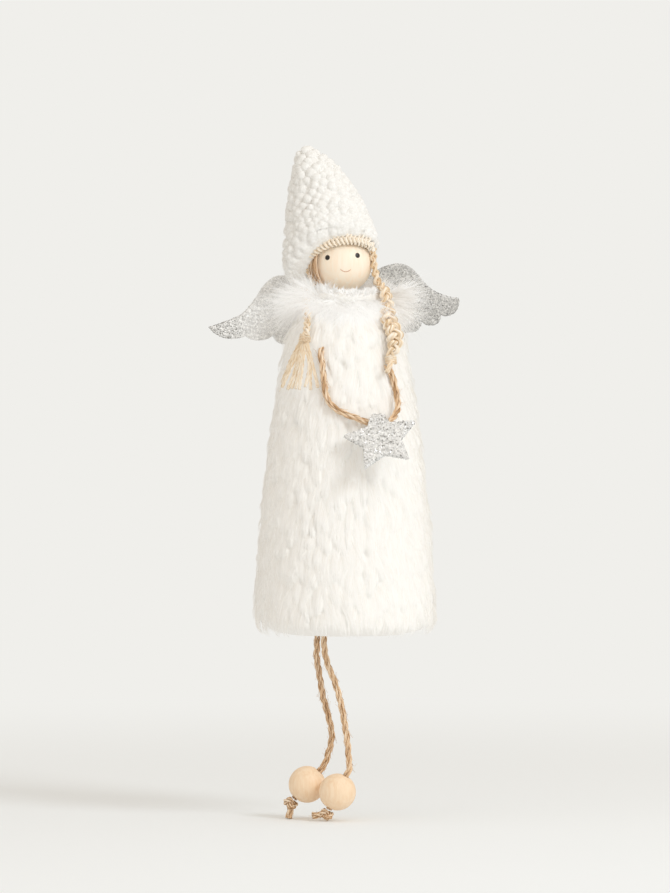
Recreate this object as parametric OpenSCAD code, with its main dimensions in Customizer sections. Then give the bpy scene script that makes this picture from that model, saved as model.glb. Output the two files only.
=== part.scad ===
// Plush angel ornament: a stuffed cone body with a wooden bead head, a sherpa hat, plaited twine
// hair, a feather collar, glitter foam wings and star, and two wooden bead feet on twine legs.
// Millimetres. The front faces -Y, left and right are as seen from the front, Z is up.

/* [Body] */
// Outside diameter of the plush body just above its hem
hem_diameter = 58; // [50:1:70]
// Outside diameter of the plush body at its shoulders
shoulder_diameter = 39; // [35:1:46]
// Height of the shoulders above the hem
shoulder_height = 92; // [76:1:112]
// Height of the rounded shoulders, up to the neck
shoulder_rise = 18.5; // [16:0.5:22]
// Outside diameter of the neck opening's edge
neck_diameter = 13; // [11:0.5:15]
// How far the skirt swells out at mid height
skirt_swell = 1.6; // [0:0.2:3]
// Thickness of the plush fabric with its pile
cover_wall = 4.5; // [3:0.5:6]
// Thickness of the sewn base panel
base_thickness = 1.5; // [1:0.1:2.5]

/* [Head and hat] */
// Diameter of the wooden head bead
head_diameter = 20; // [17:0.5:24]
// Diameter of the neck dowel
dowel_diameter = 4; // [3:0.1:5]
// Length of the neck dowel
dowel_length = 36; // [30:1:42]
// Sideways lean of the head, in degrees
head_lean = 6; // [0:1:10]
// Height of the hat from its brim to its tip
hat_height = 36; // [28:0.5:46]
// Thickness of the hat's sherpa fabric
hat_wall = 2.3; // [1.6:0.1:3]
// Room for hair between the head and the hat
hat_room = 2.3; // [2.2:0.1:4]
// Backward slant of the hat's brim, in degrees
brim_slant = 42; // [32:1:46]

/* [Hair] */
// Diameter of the plaited fringe across the forehead
fringe_diameter = 3.4; // [2.6:0.2:4]
// Thickness of the braids where they leave the head
braid_thickness = 2.4; // [2:0.2:3]
// Width of the right braid at its widest
braid_width = 7.4; // [4:0.2:8]
// Outside diameter of the wrapped braid ties
tie_diameter = 4; // [3.6:0.2:5]
// Length of the wrapped braid ties
tie_length = 3; // [2.4:0.2:4]
// Length of the left tassel below its tie
tassel_length = 16.5; // [12:0.5:22]

/* [Collar and wings] */
// Thickness of the feather collar's core
collar_thickness = 4.9; // [4:0.1:6]
// Thickness of the glitter foam of the wings
wing_thickness = 2; // [1.2:0.1:3]
// Length of one wing from its root to its tip
wing_length = 42; // [34:1:52]
// Height of the wings' centre below the neck
wing_drop = 6.5; // [5:0.1:9]
// Sideways roll of the pair of wings, in degrees
wing_roll = 6.4; // [0:0.2:8]

/* [Arms and star] */
// Diameter of the jute twine
cord_diameter = 2.3; // [1.7:0.1:2.4]
// Tip radius of the star
star_radius = 12.5; // [10:0.5:15]
// Thickness of the star's glitter foam
star_thickness = 1.5; // [1:0.1:2]
// Length of the star's folded tip along the twine
sleeve_length = 4.3; // [3:0.1:5]
// Outward tilt of the star, in degrees
star_tilt = 36; // [34:1:45]

/* [Feet] */
// Diameter of the wooden foot beads
foot_diameter = 12; // [10:0.5:12.5]
// Diameter of the hole through a foot bead
foot_bore = 2.8; // [2.6:0.1:3.4]
// Gap between the two foot beads
foot_gap = 1.5; // [0.5:0.1:3]
// Diameter of the knots under the foot beads
knot_diameter = 4.3; // [3.6:0.1:5]
// Length of the knots along the twine
knot_length = 3.6; // [3:0.1:4.2]

/* [Hidden] */
$fn = 64;

seat_gap = 0.1;     // between glued or sewn pieces
free_gap = 0.35;    // between pieces that move apart
bore_gap = 0.08;    // between the twine and the star's fold
overcut = 1;        // of a drill past a face

hem_r = hem_diameter / 2;
shoulder_r = shoulder_diameter / 2;
neck_r = neck_diameter / 2;
neck_height = shoulder_height + shoulder_rise;
head_r = head_diameter / 2;
dowel_r = dowel_diameter / 2;
fringe_r = fringe_diameter / 2;
cord_r = cord_diameter / 2;
foot_r = foot_diameter / 2;
knot_r = knot_diameter / 2;

function unit(v) = v / norm(v);
function total(list, i = 0) = i == len(list) - 1 ? list[i] : list[i] + total(list, i + 1);
function mean(list) = total(list) / len(list);
function tangent(path, i) = unit(path[min(i + 1, len(path) - 1)] - path[max(i - 1, 0)]);
function out(az) = [sin(az), -cos(az), 0];

// body surface: a swelling cone up to the shoulders, then a rounded dome to the neck
function body_r(z) = z < shoulder_height
    ? hem_r + (shoulder_r - hem_r) * z / shoulder_height + skirt_swell * sin(180 * z / shoulder_height)
    : neck_r + (shoulder_r - neck_r) * cos(90 * (z - shoulder_height) / shoulder_rise);
function lining_r(z) = max(body_r(z) - cover_wall, dowel_r + 2 * seat_gap);
function body_slope(z) = (body_r(z + 0.05) - body_r(z - 0.05)) / 0.1;
function body_normal(az, z) = unit(out(az) - [0, 0, body_slope(z)]);
function up_body(az, z) = unit(body_slope(z) * out(az) + [0, 0, 1]);
// a point over the body's surface, lifted square to it
function on_body(az, z, lift) = body_r(z) * out(az) + [0, 0, z] + lift * body_normal(az, z);

neck_point = [0, 0, neck_height];
head_rise = head_r + 4 * seat_gap;
head_c = neck_point + head_rise * [-sin(head_lean), 0, cos(head_lean)];
function on_head(az, el, lift) = head_c + (head_r + lift) * (cos(el) * out(az) + [0, 0, sin(el)]);

// the collar's core lies on the upper part of the dome
collar_r = collar_thickness / 2;
collar_share = 0.82;    // of the shoulders' rise, below the collar's seat
collar_seat = on_body(0, shoulder_height + collar_share * shoulder_rise, collar_r + seat_gap);
collar_c = [-collar_seat[1], collar_seat[2]];
function over_collar(az, angle, lift) = (collar_c[0] + (collar_r + lift) * cos(angle)) * out(az)
    + [0, 0, collar_c[1] + (collar_r + lift) * sin(angle)];

// closed skin over a row of rings, each wound anticlockwise about the way the row runs
module skin(rings) {
    n = len(rings[0]);
    m = len(rings);
    points = concat([for (r = rings) each r], [mean(rings[0]), mean(rings[m - 1])]);
    sides = [for (j = [0:m - 2], k = [0:n - 1])
        let (a = j * n + k, b = j * n + (k + 1) % n) each [[a, a + n, b], [b, a + n, b + n]]];
    bottom = [for (k = [0:n - 1]) [n * m, k, (k + 1) % n]];
    top = [for (k = [0:n - 1]) [n * m + 1, (m - 1) * n + (k + 1) % n, (m - 1) * n + k]];
    polyhedron(points, concat(sides, bottom, top), convexity = 6);
}
// oval rings along a path: half widths, half thicknesses, and the way each ring's flat side faces
function oval_rings(path, widths, depths, faces, sides) = [for (i = [0:len(path) - 1])
    let (t = tangent(path, i), a = unit(cross(faces[i], t)), b = cross(t, a))
    [for (k = [0:sides - 1]) path[i] + widths[i] * cos(360 * k / sides) * a
        + depths[i] * sin(360 * k / sides) * b]];
// a domed start, so that an end turns in place about its own centre
function dome(path, w) = let (t = tangent(path, 0)) [for (a = [75, 40]) path[0] - w * sin(a) * t];
function dome_w(w) = [for (a = [75, 40]) w * cos(a)];
module tube(path, r, facing) {
    points = concat(dome(path, r), path);
    size = concat(dome_w(r), [for (p = path) r]);
    skin(oval_rings(points, size, size, [for (p = points) facing], 8));
}
module along(point, way) {
    translate(point) rotate([0, acos(way[2] / norm(way)), atan2(way[1], way[0])]) children();
}
// round barrel with softened ends, standing on its lower end
module barrel(r, length, soften) {
    rotate_extrude() {
        translate([0, soften]) square([r, length - 2 * soften]);
        square([r - soften, length]);
        for (z = [soften, length - soften])
            translate([r - soften, z]) circle(soften);
    }
}

skirt_steps = 10;
dome_steps = 8;
hem_soften = 1.4;
levels = concat([for (i = [1:skirt_steps - 1]) shoulder_height * i / skirt_steps],
    [for (i = [0:dome_steps]) shoulder_height + shoulder_rise * i / dome_steps]);

module body_cover() {
    color("WhiteSmoke") rotate_extrude()
        polygon(concat([[hem_r - cover_wall, 0], [hem_r - hem_soften, 0], [hem_r, hem_soften]],
            [for (z = levels) [body_r(z), z]],
            [for (i = [len(levels) - 1:-1:0]) [lining_r(levels[i]), levels[i]]]));
}

stuffing_drop = 6;      // from the neck to the filling
stuffing_top = neck_height - stuffing_drop;
stuffing_levels = [for (z = levels) if (z < stuffing_top) z];
module body_stuffing() {
    low = base_thickness + seat_gap;
    color("White") difference() {
        rotate_extrude()
            polygon(concat([[0, low], [lining_r(low) - seat_gap, low]],
                [for (z = stuffing_levels) [lining_r(z) - seat_gap, z]],
                [[lining_r(stuffing_top) - seat_gap, stuffing_top], [0, stuffing_top]]));
        neck_line() cylinder(r = dowel_r + seat_gap, h = 2 * dowel_length, center = true);
        translate([anchor_c[0], anchor_c[1], 0])
            cylinder(r = anchor_r + seat_gap, h = base_thickness + anchor_height + 2 * seat_gap);
    }
}

left_hip = [-9.1, 1.1, -3.6];
right_hip = [-7.3, -1.5, -3.6];
anchor_c = (left_hip + right_hip) / 2;
anchor_r = norm(left_hip - right_hip) / 2 + 2 * cord_r;
anchor_height = 3;
leg_hole_room = 0.85;
leg_hole_r = cord_r + leg_hole_room;
anchor_soften = 1;

module base_panel() {
    color("Ivory") difference() {
        cylinder(r = min(lining_r(0), lining_r(base_thickness)) - seat_gap, h = base_thickness);
        for (hip = [left_hip, right_hip])
            translate([hip[0], hip[1], -overcut])
                cylinder(r = leg_hole_r, h = base_thickness + 2 * overcut);
    }
}

// knot inside the base, with the two ends of twine that the legs hang from
module leg_anchor() {
    stub_low = left_hip[2] + cord_r + free_gap;
    color("Peru") {
        translate([anchor_c[0], anchor_c[1], base_thickness + seat_gap])
            barrel(anchor_r, anchor_height - seat_gap, anchor_soften);
        for (hip = [left_hip, right_hip])
            translate([hip[0], hip[1], stub_low])
                cylinder(r = cord_r, h = base_thickness + anchor_height / 2 - stub_low);
    }
}

module neck_line() translate(neck_point) rotate([0, -head_lean, 0]) children();

dowel_share = 0.7;      // of the head's radius, from its centre to the dowel's end
dowel_top = head_rise + dowel_share * head_r;
module neck_dowel() {
    color("BurlyWood") neck_line() translate([0, 0, dowel_top - dowel_length])
        cylinder(r = dowel_r, h = dowel_length);
}

module head_bead() {
    color("PeachPuff") neck_line() translate([0, 0, head_rise]) difference() {
        sphere(r = head_r);
        cylinder(r = dowel_r + seat_gap / 2, h = 3 * head_r, center = true);
    }
}

// hat: rings from the slanted brim to the tip, leaning to the left and set back on the head
hat_r = head_r + hat_room + hat_wall;
hat_shift = hat_room - seat_gap;    // to the left, as far as the room inside lets it
hat_side_lean = 4.5;
hat_tip_droop = 4;
hat_set_back = 3.5;
hat_sides = 28;
hat_tip_s = 0.985;
hat_lining_s = 0.86;
hat_filling_s = 0.83;
hat_filling_rise = 3.45;    // from the head bead to the hat's filling
hang_s = 0.705;             // where the hat's surface lies over the body's axis
hat_steps = 10;
hat_filling_steps = 6;
brim_lift = fringe_r + free_gap;
function hat_c(s) = head_c + brim_lift * [0, sin(brim_slant), cos(brim_slant)]
    + [-hat_shift - hat_side_lean * s - hat_tip_droop * pow(s, 4),
        hat_set_back * (1 - pow(1 - s, 3)), hat_height * s];
function hat_out_r(s) = hat_r * pow(1 - pow(s, 1.7), 0.62);
function hat_slant(s) = brim_slant * pow(1 - s, 2.7);
hang_height = hat_c(hang_s)[2];
function hat_ring(s, inset) = let (r = hat_out_r(s) - inset, v = hat_slant(s))
    [for (k = [0:hat_sides - 1]) let (a = 360 * k / hat_sides)
        hat_c(s) + r * [cos(a), sin(a) * cos(v), -sin(a) * sin(v)]];

module hat() {
    color("White") skin(concat(
        [for (i = [hat_steps:-1:0]) hat_ring(hat_lining_s * i / hat_steps, hat_wall)],
        [for (i = [0:hat_steps]) hat_ring(hat_tip_s * i / hat_steps, 0)]));
}

module hat_stuffing() {
    low = (head_r + hat_filling_rise) / hat_height;
    color("WhiteSmoke") skin([for (i = [0:hat_filling_steps])
        hat_ring(low + (hat_filling_s - low) * i / hat_filling_steps, hat_wall + 3 * seat_gap)]);
}

// fringe: a thick plait over the forehead, just in front of the brim
fringe_left = -84;
fringe_right = 60;
fringe_steps = 16;
module hair_fringe() {
    r = head_r + fringe_r + seat_gap;
    path = [for (i = [0:fringe_steps])
        let (a = fringe_left + (fringe_right - fringe_left) * i / fringe_steps)
        head_c + r * [sin(a), -cos(a) * cos(brim_slant), cos(a) * sin(brim_slant)]];
    size = [for (p = path) fringe_r];
    color("SandyBrown")
        skin(oval_rings(path, size, size, [for (p = path) unit(p - head_c)], 10));
}

module feather_collar() {
    color("White") rotate_extrude() translate(collar_c) circle(collar_r);
}

// wings: an outline of curves for each, from its root by the lower edge to the tip and back;
// the left one is cut narrower, and is mirrored into place
wing_root = 0.9;     // from the middle line to each wing
wing_drawn = 42;     // length that the outline is drawn at
wing_front = collar_c[0] + collar_r + 3 * seat_gap;
function curve(a, b, c) = [for (i = [0:5]) let (t = i / 6)
    pow(1 - t, 2) * a + 2 * t * (1 - t) * b + t * t * c];
right_wing_outline = concat(
    curve([0, 0.2], [9, -1.5], [18, -6.5]), curve([18, -6.5], [21, -9.4], [24.2, -9.3]),
    curve([24.2, -9.3], [28.2, -9.4], [28.4, -5.6]), curve([28.4, -5.6], [29, -7.6], [31.4, -7.8]),
    curve([31.4, -7.8], [34.8, -8.2], [35.3, -4.6]), curve([35.3, -4.6], [36, -5.4], [37.5, -5.4]),
    curve([37.5, -5.4], [42, -5], [42, 0]), curve([42, 0], [34, 1.4], [30, 7.4]),
    curve([30, 7.4], [26.5, 13.6], [22, 13.6]), curve([22, 13.6], [15, 13.4], [8, 8.6]),
    curve([8, 8.6], [4, 7.6], [0, 7.6]));
left_wing_outline = concat(
    curve([0, 0.2], [8, -0.6], [12.5, -4.6]), curve([12.5, -4.6], [14.5, -8.1], [17.2, -8.1]),
    curve([17.2, -8.1], [20, -8], [20.8, -4.8]), curve([20.8, -4.8], [22.2, -6], [24.8, -6]),
    curve([24.8, -6], [28.5, -5.8], [30, -3.9]), curve([30, -3.9], [31.5, -4.4], [34, -4.4]),
    curve([34, -4.4], [39.4, -4], [42, 0.3]), curve([42, 0.3], [35, 1.5], [30.5, 3.2]),
    curve([30.5, 3.2], [27, 5.4], [23, 10.6]), curve([23, 10.6], [19.5, 14.2], [16.5, 14.2]),
    curve([16.5, 14.2], [12, 14.2], [8, 10.4]), curve([8, 10.4], [4, 7.2], [0, 7]));
module wing(outline) {
    translate([0, wing_front + wing_thickness, neck_height - wing_drop])
        rotate([90, 0, 0]) linear_extrude(wing_thickness) translate([wing_root, 0])
            polygon([for (p = outline) [p[0] * (wing_length - wing_root) / wing_drawn, p[1]]]);
}
module pair_roll() {
    translate([0, 0, neck_height - wing_drop]) rotate([0, -wing_roll, 0])
        translate([0, 0, wing_drop - neck_height]) children();
}
module right_wing() color("Silver") pair_roll() wing(right_wing_outline);
module left_wing() color("Silver") pair_roll() mirror([1, 0, 0]) wing(left_wing_outline);

// braids: from the temples, over the collar, down the front of the body
braid_t = braid_thickness / 2;
braid_end_r = 1.2;
tie_r = tie_diameter / 2;
tie_bore_r = braid_end_r + seat_gap;
tie_lift = tie_r + free_gap;
tie_soften = 0.6;
left_tie_entry = 0.8;     // of a tie's length, from its centre to where the braid narrows
right_tie_entry = 0.65;

braid_gap = 0.55;    // under the braids and the tassel, whose flat sides cut the corners
left_temple_drop = 2.44;     // from the fringe's end down to the braid's start
right_temple_drop = 1.84;
function temple_el(fringe_end, drop) = asin(cos(fringe_end) * sin(brim_slant)) - drop / head_r * 180 / PI;
left_tie_az = -51;
left_tie_z = shoulder_height + 3.7;
left_tie = on_body(left_tie_az, left_tie_z, tie_lift);
left_up = up_body(left_tie_az, left_tie_z);
left_braid_path = [on_head(-86, temple_el(fringe_left, left_temple_drop), braid_t + braid_gap),
    on_head(-84, -32, braid_t + braid_gap),
    over_collar(-75, 75, 1.4 + braid_gap), over_collar(-68, 35, 1.5 + braid_gap),
    over_collar(-61, -5, 1.6 + braid_gap), left_tie + left_tie_entry * tie_length * left_up, left_tie];
left_braid_w = [braid_t, 1.4, 1.6, 1.8, 1.7, braid_end_r, braid_end_r];
left_braid_d = [braid_t, 1.3, 1.4, 1.5, 1.5, braid_end_r, braid_end_r];

right_tie_az = 28.5;
right_tie_z = shoulder_height - 2.8;
right_tie = on_body(right_tie_az, right_tie_z, tie_lift);
right_up = up_body(right_tie_az, right_tie_z);
right_braid_path = [on_head(69, temple_el(fringe_right, right_temple_drop), braid_t + braid_gap),
    on_head(66, -9, braid_t + braid_gap),
    over_collar(52, 88, 1.5 + braid_gap), over_collar(45, 45, 1.6 + braid_gap),
    over_collar(40.5, 5, 1.8 + braid_gap), on_body(39, shoulder_height + 9, 2 + braid_gap),
    on_body(37.5, shoulder_height + 5.5, 2.1 + braid_gap),
    on_body(34, shoulder_height + 1.8, 2 + braid_gap),
    right_tie + right_tie_entry * tie_length * right_up, right_tie];
right_braid_w = [braid_t, 1.3, 1.6, 2, 2.5, 0.48 * braid_width, 0.5 * braid_width,
    0.4 * braid_width, braid_end_r, braid_end_r];
right_braid_d = [braid_t, 1.2, 1.4, 1.5, 1.7, 1.9, 2, 1.8, braid_end_r, braid_end_r];

module braid(path, widths, depths) {
    points = concat(dome(path, braid_t), path);
    way = [for (p = points) unit([p[0], p[1], 0])];
    skin(oval_rings(points, concat(dome_w(braid_t), widths), concat(dome_w(braid_t), depths), way, 12));
}
module tie(centre, way) {
    along(centre, way) difference() {
        translate([0, 0, -tie_length / 2]) barrel(tie_r, tie_length, tie_soften);
        cylinder(r = tie_bore_r, h = 2 * tie_length, center = true);
    }
}
module left_braid() color("Peru") braid(left_braid_path, left_braid_w, left_braid_d);
module right_braid() color("Peru") braid(right_braid_path, right_braid_w, right_braid_d);
module left_braid_tie() color("SaddleBrown") tie(left_tie, left_up);
module right_braid_tie() color("SaddleBrown") tie(right_tie, right_up);

// tassel: leaves the left tie, fans out and lies round the body below it
tassel_spread = 23.5;    // degrees to each side at the lower end
tassel_turn = -7;      // degrees round the body at the lower end, away from the front
tassel_steps = 6;
tassel_sides = 16;
tassel_t = 0.9;
tassel_exit = 0.6;     // of the tie's length, from its centre to where the strands leave it
tassel_fan = 0.8;      // of the tie's length, to where they fan out
tassel_settle = 1.5;   // how soon they lie on the body
function tassel_neck(drop) = let (side = cross(left_up, body_normal(left_tie_az, left_tie_z)))
    [for (k = [0:tassel_sides - 1]) let (a = 360 * k / tassel_sides)
        left_tie - drop * left_up + braid_end_r * (cos(a) * side
            + sin(a) * body_normal(left_tie_az, left_tie_z))];
module left_tassel() {
    fan_z = left_tie_z - tassel_fan * tie_length;
    color("Peru") skin(concat([tassel_neck(seat_gap), tassel_neck(tassel_exit * tie_length)],
        [for (i = [1:tassel_steps])
            let (s = i / tassel_steps, z = fan_z - (tassel_length - tie_length) * s,
                lift = tie_lift + (tassel_t + braid_gap - tie_lift) * min(1, tassel_settle * s),
                neck = braid_end_r / body_r(z) * 180 / PI, w = neck + (tassel_spread - neck) * s)
            [for (k = [0:tassel_sides - 1]) let (a = 360 * k / tassel_sides)
                on_body(left_tie_az + tassel_turn * s + w * cos(a), z, lift + tassel_t * sin(a))]]));
}

// arms: one length of twine from shoulder to shoulder, threaded through the star's folded tip
cord_lift = cord_r + free_gap;
star_az = 10;
star_z = shoulder_height - 22.9;
fold_r = cord_r + bore_gap;
star_yaw = -22;    // the fold faces left of straight ahead
fold_way = [cos(star_yaw), sin(star_yaw), 0];
// the fold stands off the round body by its own slant too
star_lift = fold_r + star_thickness + free_gap + sleeve_length / 2 * sin(star_az - star_yaw);
star_axis = on_body(star_az, star_z, star_lift);
star_run = 3.6;    // straight twine to each side of the star's middle
left_arm = [[-35, 0, 0], [-32.7, -4.2, 0], [-31.2, -8, 0], [-29.6, -11.6, 0], [-27, -15, 0],
    [-22, -17.6, 0], [-15.5, -19.3, 0.1], [-9, -20.5, 0.4], [-3, -21.5, 0.8]];
right_arm = [[26.5, -19, 2.6], [30.5, -16, 1.1], [32, -12.8, 0.2], [31, -9.3, 0], [28.5, -6.4, 0]];
function arm_points(list) = [for (p = list) on_body(p[0], shoulder_height + p[1], cord_lift + p[2])];
arm_path = concat(arm_points(left_arm),
    [for (x = [-star_run, 0, star_run]) star_axis + x * fold_way], arm_points(right_arm));
module arm_cord() {
    last = len(arm_path) - 1;
    end_way = tangent(arm_path, last);
    points = concat(dome(arm_path, cord_r), arm_path,
        [for (a = [40, 75]) arm_path[last] + cord_r * sin(a) * end_way]);
    size = concat(dome_w(cord_r), [for (p = arm_path) cord_r], [for (a = [40, 75]) cord_r * cos(a)]);
    color("SandyBrown")
        skin(oval_rings(points, size, size, [for (p = points) unit([p[0], p[1], 0])], 8));
}

star_waist = 0.52;    // share of the tip radius at the notches
star_inner_r = star_waist * star_radius;
star_turn = 15;
star_drop = 7.5;      // from the fold to the star's centre
module star_shape() {
    intersection() {
        translate([star_drop * tan(star_turn), -star_drop]) polygon([for (k = [0:9])
            let (a = 90 + star_turn + 36 * k, r = k % 2 == 0 ? star_radius : star_inner_r)
            r * [cos(a), sin(a)]]);
        translate([-2 * star_radius, -4 * star_radius]) square([4 * star_radius, 4 * star_radius]);
    }
}
module star() {
    color("Gainsboro") translate(star_axis) rotate([0, 0, star_yaw]) rotate([-star_tilt, 0, 0])
        difference() {
            union() {
                translate([0, -fold_r, 0]) rotate([90, 0, 0]) linear_extrude(star_thickness) star_shape();
                rotate([0, 90, 0])
                    cylinder(r = fold_r + star_thickness, h = sleeve_length, center = true);
            }
            rotate([0, 90, 0]) cylinder(r = fold_r, h = 2 * sleeve_length, center = true);
        }
}

// feet: the beads lie side by side, each slanted on its leg's twine and held by a knot
feet_mid = [-7.8, -0.9, -50];
feet_way = unit([7.6, -11, -1.8]);
left_foot_c = feet_mid - (foot_r + foot_gap / 2) * feet_way;
right_foot_c = feet_mid + (foot_r + foot_gap / 2) * feet_way;
left_foot_way = unit([0.65, -0.15, 0.75]);
right_foot_way = unit([0.45, -0.1, 0.89]);
knot_start = foot_r + free_gap;
knot_soften = 1;
left_tail = 5;
right_tail = 4.5;
leg_lead = 2;    // straight twine above a foot bead
left_leg_path = concat([left_hip, [-9.2, 1.3, -7], [-8.6, 1.5, -11], [-7.8, 1.6, -15.5],
    [-7, 1.8, -20], [-5.8, 1.8, -24.5], [-4.6, 1.7, -29], [-4, 1.8, -32.5], [-4.3, 2.1, -36],
    [-5.2, 2.6, -39.5]], [for (d = [foot_r + leg_lead, 0, -knot_start]) left_foot_c + d * left_foot_way]);
right_leg_path = concat([right_hip, [-6.9, -1.9, -7], [-6, -2.4, -10.5], [-4.5, -3.2, -14.5],
    [-3.1, -3.8, -19], [-2.1, -4.5, -24], [-1.2, -5.2, -29.5], [-0.5, -5.8, -35],
    [-0.3, -6.6, -40]], [for (d = [foot_r + leg_lead, 0, -knot_start]) right_foot_c + d * right_foot_way]);

module left_leg_cord() color("SandyBrown") tube(left_leg_path, cord_r, [0, 1, 0]);
module right_leg_cord() color("SandyBrown") tube(right_leg_path, cord_r, [0, 1, 0]);

module foot(centre, way) {
    color("Wheat") along(centre, way) difference() {
        sphere(r = foot_r);
        cylinder(d = foot_bore, h = 3 * foot_r, center = true);
    }
}
module left_foot_bead() foot(left_foot_c, left_foot_way);
module right_foot_bead() foot(right_foot_c, right_foot_way);

// a knot with the cut end of its twine
module knot(centre, way, tail_way, tail_length) {
    start = centre - knot_start * way;
    color("SandyBrown") {
        along(start, -way) barrel(knot_r, knot_length, knot_soften);
        along(start - knot_length / 2 * way, tail_way) cylinder(r = cord_r, h = tail_length);
    }
}
module left_foot_knot() knot(left_foot_c, left_foot_way, [-0.1, 0, -1], left_tail);
module right_foot_knot() knot(right_foot_c, right_foot_way, [-1, 0.2, -0.1], right_tail);

// the part hangs by the hat, and its origin is the hang point
module hung() translate([0, 0, -hang_height]) children();

hung() body_cover();
hung() body_stuffing();
hung() base_panel();
hung() leg_anchor();
hung() neck_dowel();
hung() head_bead();
hung() hat();
hung() hat_stuffing();
hung() hair_fringe();
hung() feather_collar();
hung() left_wing();
hung() right_wing();
hung() left_braid();
hung() left_braid_tie();
hung() left_tassel();
hung() right_braid();
hung() right_braid_tie();
hung() arm_cord();
hung() star();
hung() left_leg_cord();
hung() right_leg_cord();
hung() left_foot_bead();
hung() right_foot_bead();
hung() left_foot_knot();
hung() right_foot_knot();
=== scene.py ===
# Plush angel ornament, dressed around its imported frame. Sizes are millimetres over the body's hem;
# the front faces -Y, and left and right are as seen from the front.
import bpy
import numpy as np
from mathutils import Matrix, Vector


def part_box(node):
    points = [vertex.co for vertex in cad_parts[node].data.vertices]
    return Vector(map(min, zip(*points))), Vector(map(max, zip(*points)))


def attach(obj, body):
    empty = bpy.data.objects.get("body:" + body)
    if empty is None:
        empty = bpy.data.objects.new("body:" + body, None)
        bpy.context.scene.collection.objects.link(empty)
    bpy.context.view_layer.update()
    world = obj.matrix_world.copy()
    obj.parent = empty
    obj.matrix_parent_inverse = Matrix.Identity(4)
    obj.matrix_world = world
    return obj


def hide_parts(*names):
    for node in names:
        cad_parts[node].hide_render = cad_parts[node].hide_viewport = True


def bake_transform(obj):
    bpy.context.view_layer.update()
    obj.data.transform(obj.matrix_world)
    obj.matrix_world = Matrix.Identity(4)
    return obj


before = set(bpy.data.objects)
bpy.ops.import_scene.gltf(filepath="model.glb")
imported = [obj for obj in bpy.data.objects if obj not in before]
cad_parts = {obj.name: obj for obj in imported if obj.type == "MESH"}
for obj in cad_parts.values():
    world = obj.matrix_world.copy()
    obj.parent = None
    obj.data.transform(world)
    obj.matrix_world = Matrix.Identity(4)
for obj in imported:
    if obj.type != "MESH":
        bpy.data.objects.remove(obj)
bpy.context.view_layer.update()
mm = 0.001
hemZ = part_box("body_cover")[0].z / mm     # the hem's level in the frame
rng = np.random.default_rng(11)
tau = 2 * np.pi
goldenAngle = 137.5078     # degrees
print("frame loaded,", len(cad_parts), "nodes, hem at", round(hemZ, 2), "mm")


# a vector brought to length one
def unit(v):
    return v / np.maximum(np.linalg.norm(v, axis=-1, keepdims=True), 1e-12)


# from a to b by the share t
def lerp(a, b, t):
    return a + (b - a) * t


# 0 up to a start, then rising evenly to 1 over a span
def rampUp(x, start, span):
    return np.clip((x - start) / span, 0, 1)


# even random values, one to a row
def column(low, high, count):
    return rng.uniform(low, high, (count, 1))


# angles evenly round a turn
def turns(count):
    return tau * np.arange(count) / count


# points over the hem, in the frame and in metres
def inFrame(points):
    return (np.asarray(points) + [0, 0, hemZ]) * mm


# direction at an azimuth round the body, 0 to the front and 90 to the right, and an elevation
def direction(az, el=0.0):
    a, e = np.radians(az), np.radians(el)
    return np.stack(np.broadcast_arrays(np.sin(a) * np.cos(e), -np.cos(a) * np.cos(e), np.sin(e)), -1)


# how far each point of a path lies along it
def runOf(path):
    step = np.linalg.norm(np.diff(path, axis=-2), axis=-1)
    return np.concatenate([0 * step[..., :1], np.cumsum(step, axis=-1)], -1)


# Catmull-Rom curve through given points, sampled again at even steps
def smoothPath(points, step):
    p = np.asarray(points, float)
    q = np.vstack([2 * p[0] - p[1], p, 2 * p[-1] - p[-2]])
    t = np.linspace(0, 1, 24, endpoint=False)[:, None]
    a, b, c, d = (x[:, None] for x in (q[:-3], q[1:-2], q[2:-1], q[3:]))
    curve = 0.5 * (2 * b + (c - a) * t + (2 * a - 5 * b + 4 * c - d) * t**2
                   + (3 * b - a - 3 * c + d) * t**3)
    curve = np.vstack([curve.reshape(-1, 3), p[-1:]])
    run = runOf(curve)
    at = np.linspace(0, run[-1], int(np.ceil(run[-1] / step)) + 1)
    return np.stack([np.interp(at, run, curve[:, k]) for k in range(3)], 1), at


# the way along a path, a side square to it that leans to ref, and the third direction
def frames(path, ref):
    way = unit(np.gradient(path, axis=-2))
    side = unit(ref - (ref * way).sum(-1, keepdims=True) * way)
    return way, side, np.cross(way, side)


# quads between two rows of point numbers that each close on themselves
def quads(a, b):
    return np.stack([a, np.roll(a, -1, -1), np.roll(b, -1, -1), b], -1).reshape(-1, 4)


# a small ring carried along each of many paths and closed at both ends; flat presses it towards ref,
# with a flat face outwards
def strands(paths, radii, sides=3, ref=None, flat=1.0):
    count, steps = paths.shape[:2]
    if ref is None:
        ref = np.eye(3)[np.abs(unit(paths[:, -1] - paths[:, 0])).argmin(1)][:, None]
    _, side, up = frames(paths, ref)
    turn = tau * (np.arange(sides) + 0.5) / sides
    ring = flat * np.cos(turn)[:, None] * side[:, :, None] + np.sin(turn)[:, None] * up[:, :, None]
    points = paths[:, :, None] + radii[:, :, None, None] * ring
    index = np.arange(count * steps * sides).reshape(count, steps, sides)
    return points.reshape(-1, 3), [quads(index[:, :-1], index[:, 1:]), index[:, 0, ::-1], index[:, -1]]


# one tint a strand across the map and the way along it up the map
def strandMap(count, steps, sides, palest=0.0, tints=64):
    tint = (rng.integers(int(palest * tints), tints, count) + 0.5) / tints
    across = tint[:, None, None] + np.linspace(-0.3, 0.3, sides) / tints
    along = np.linspace(0.02, 0.98, steps)[:, None]
    return np.stack(np.broadcast_arrays(across, along), -1).reshape(-1, 2)


# a grid of points closed round its second direction, with both ends capped
def closedGrid(grid):
    index = np.arange(grid.shape[0] * grid.shape[1]).reshape(grid.shape[:2])
    return grid.reshape(-1, 3), [quads(index[:-1], index[1:]), index[:1, ::-1], index[-1:]]


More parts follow.
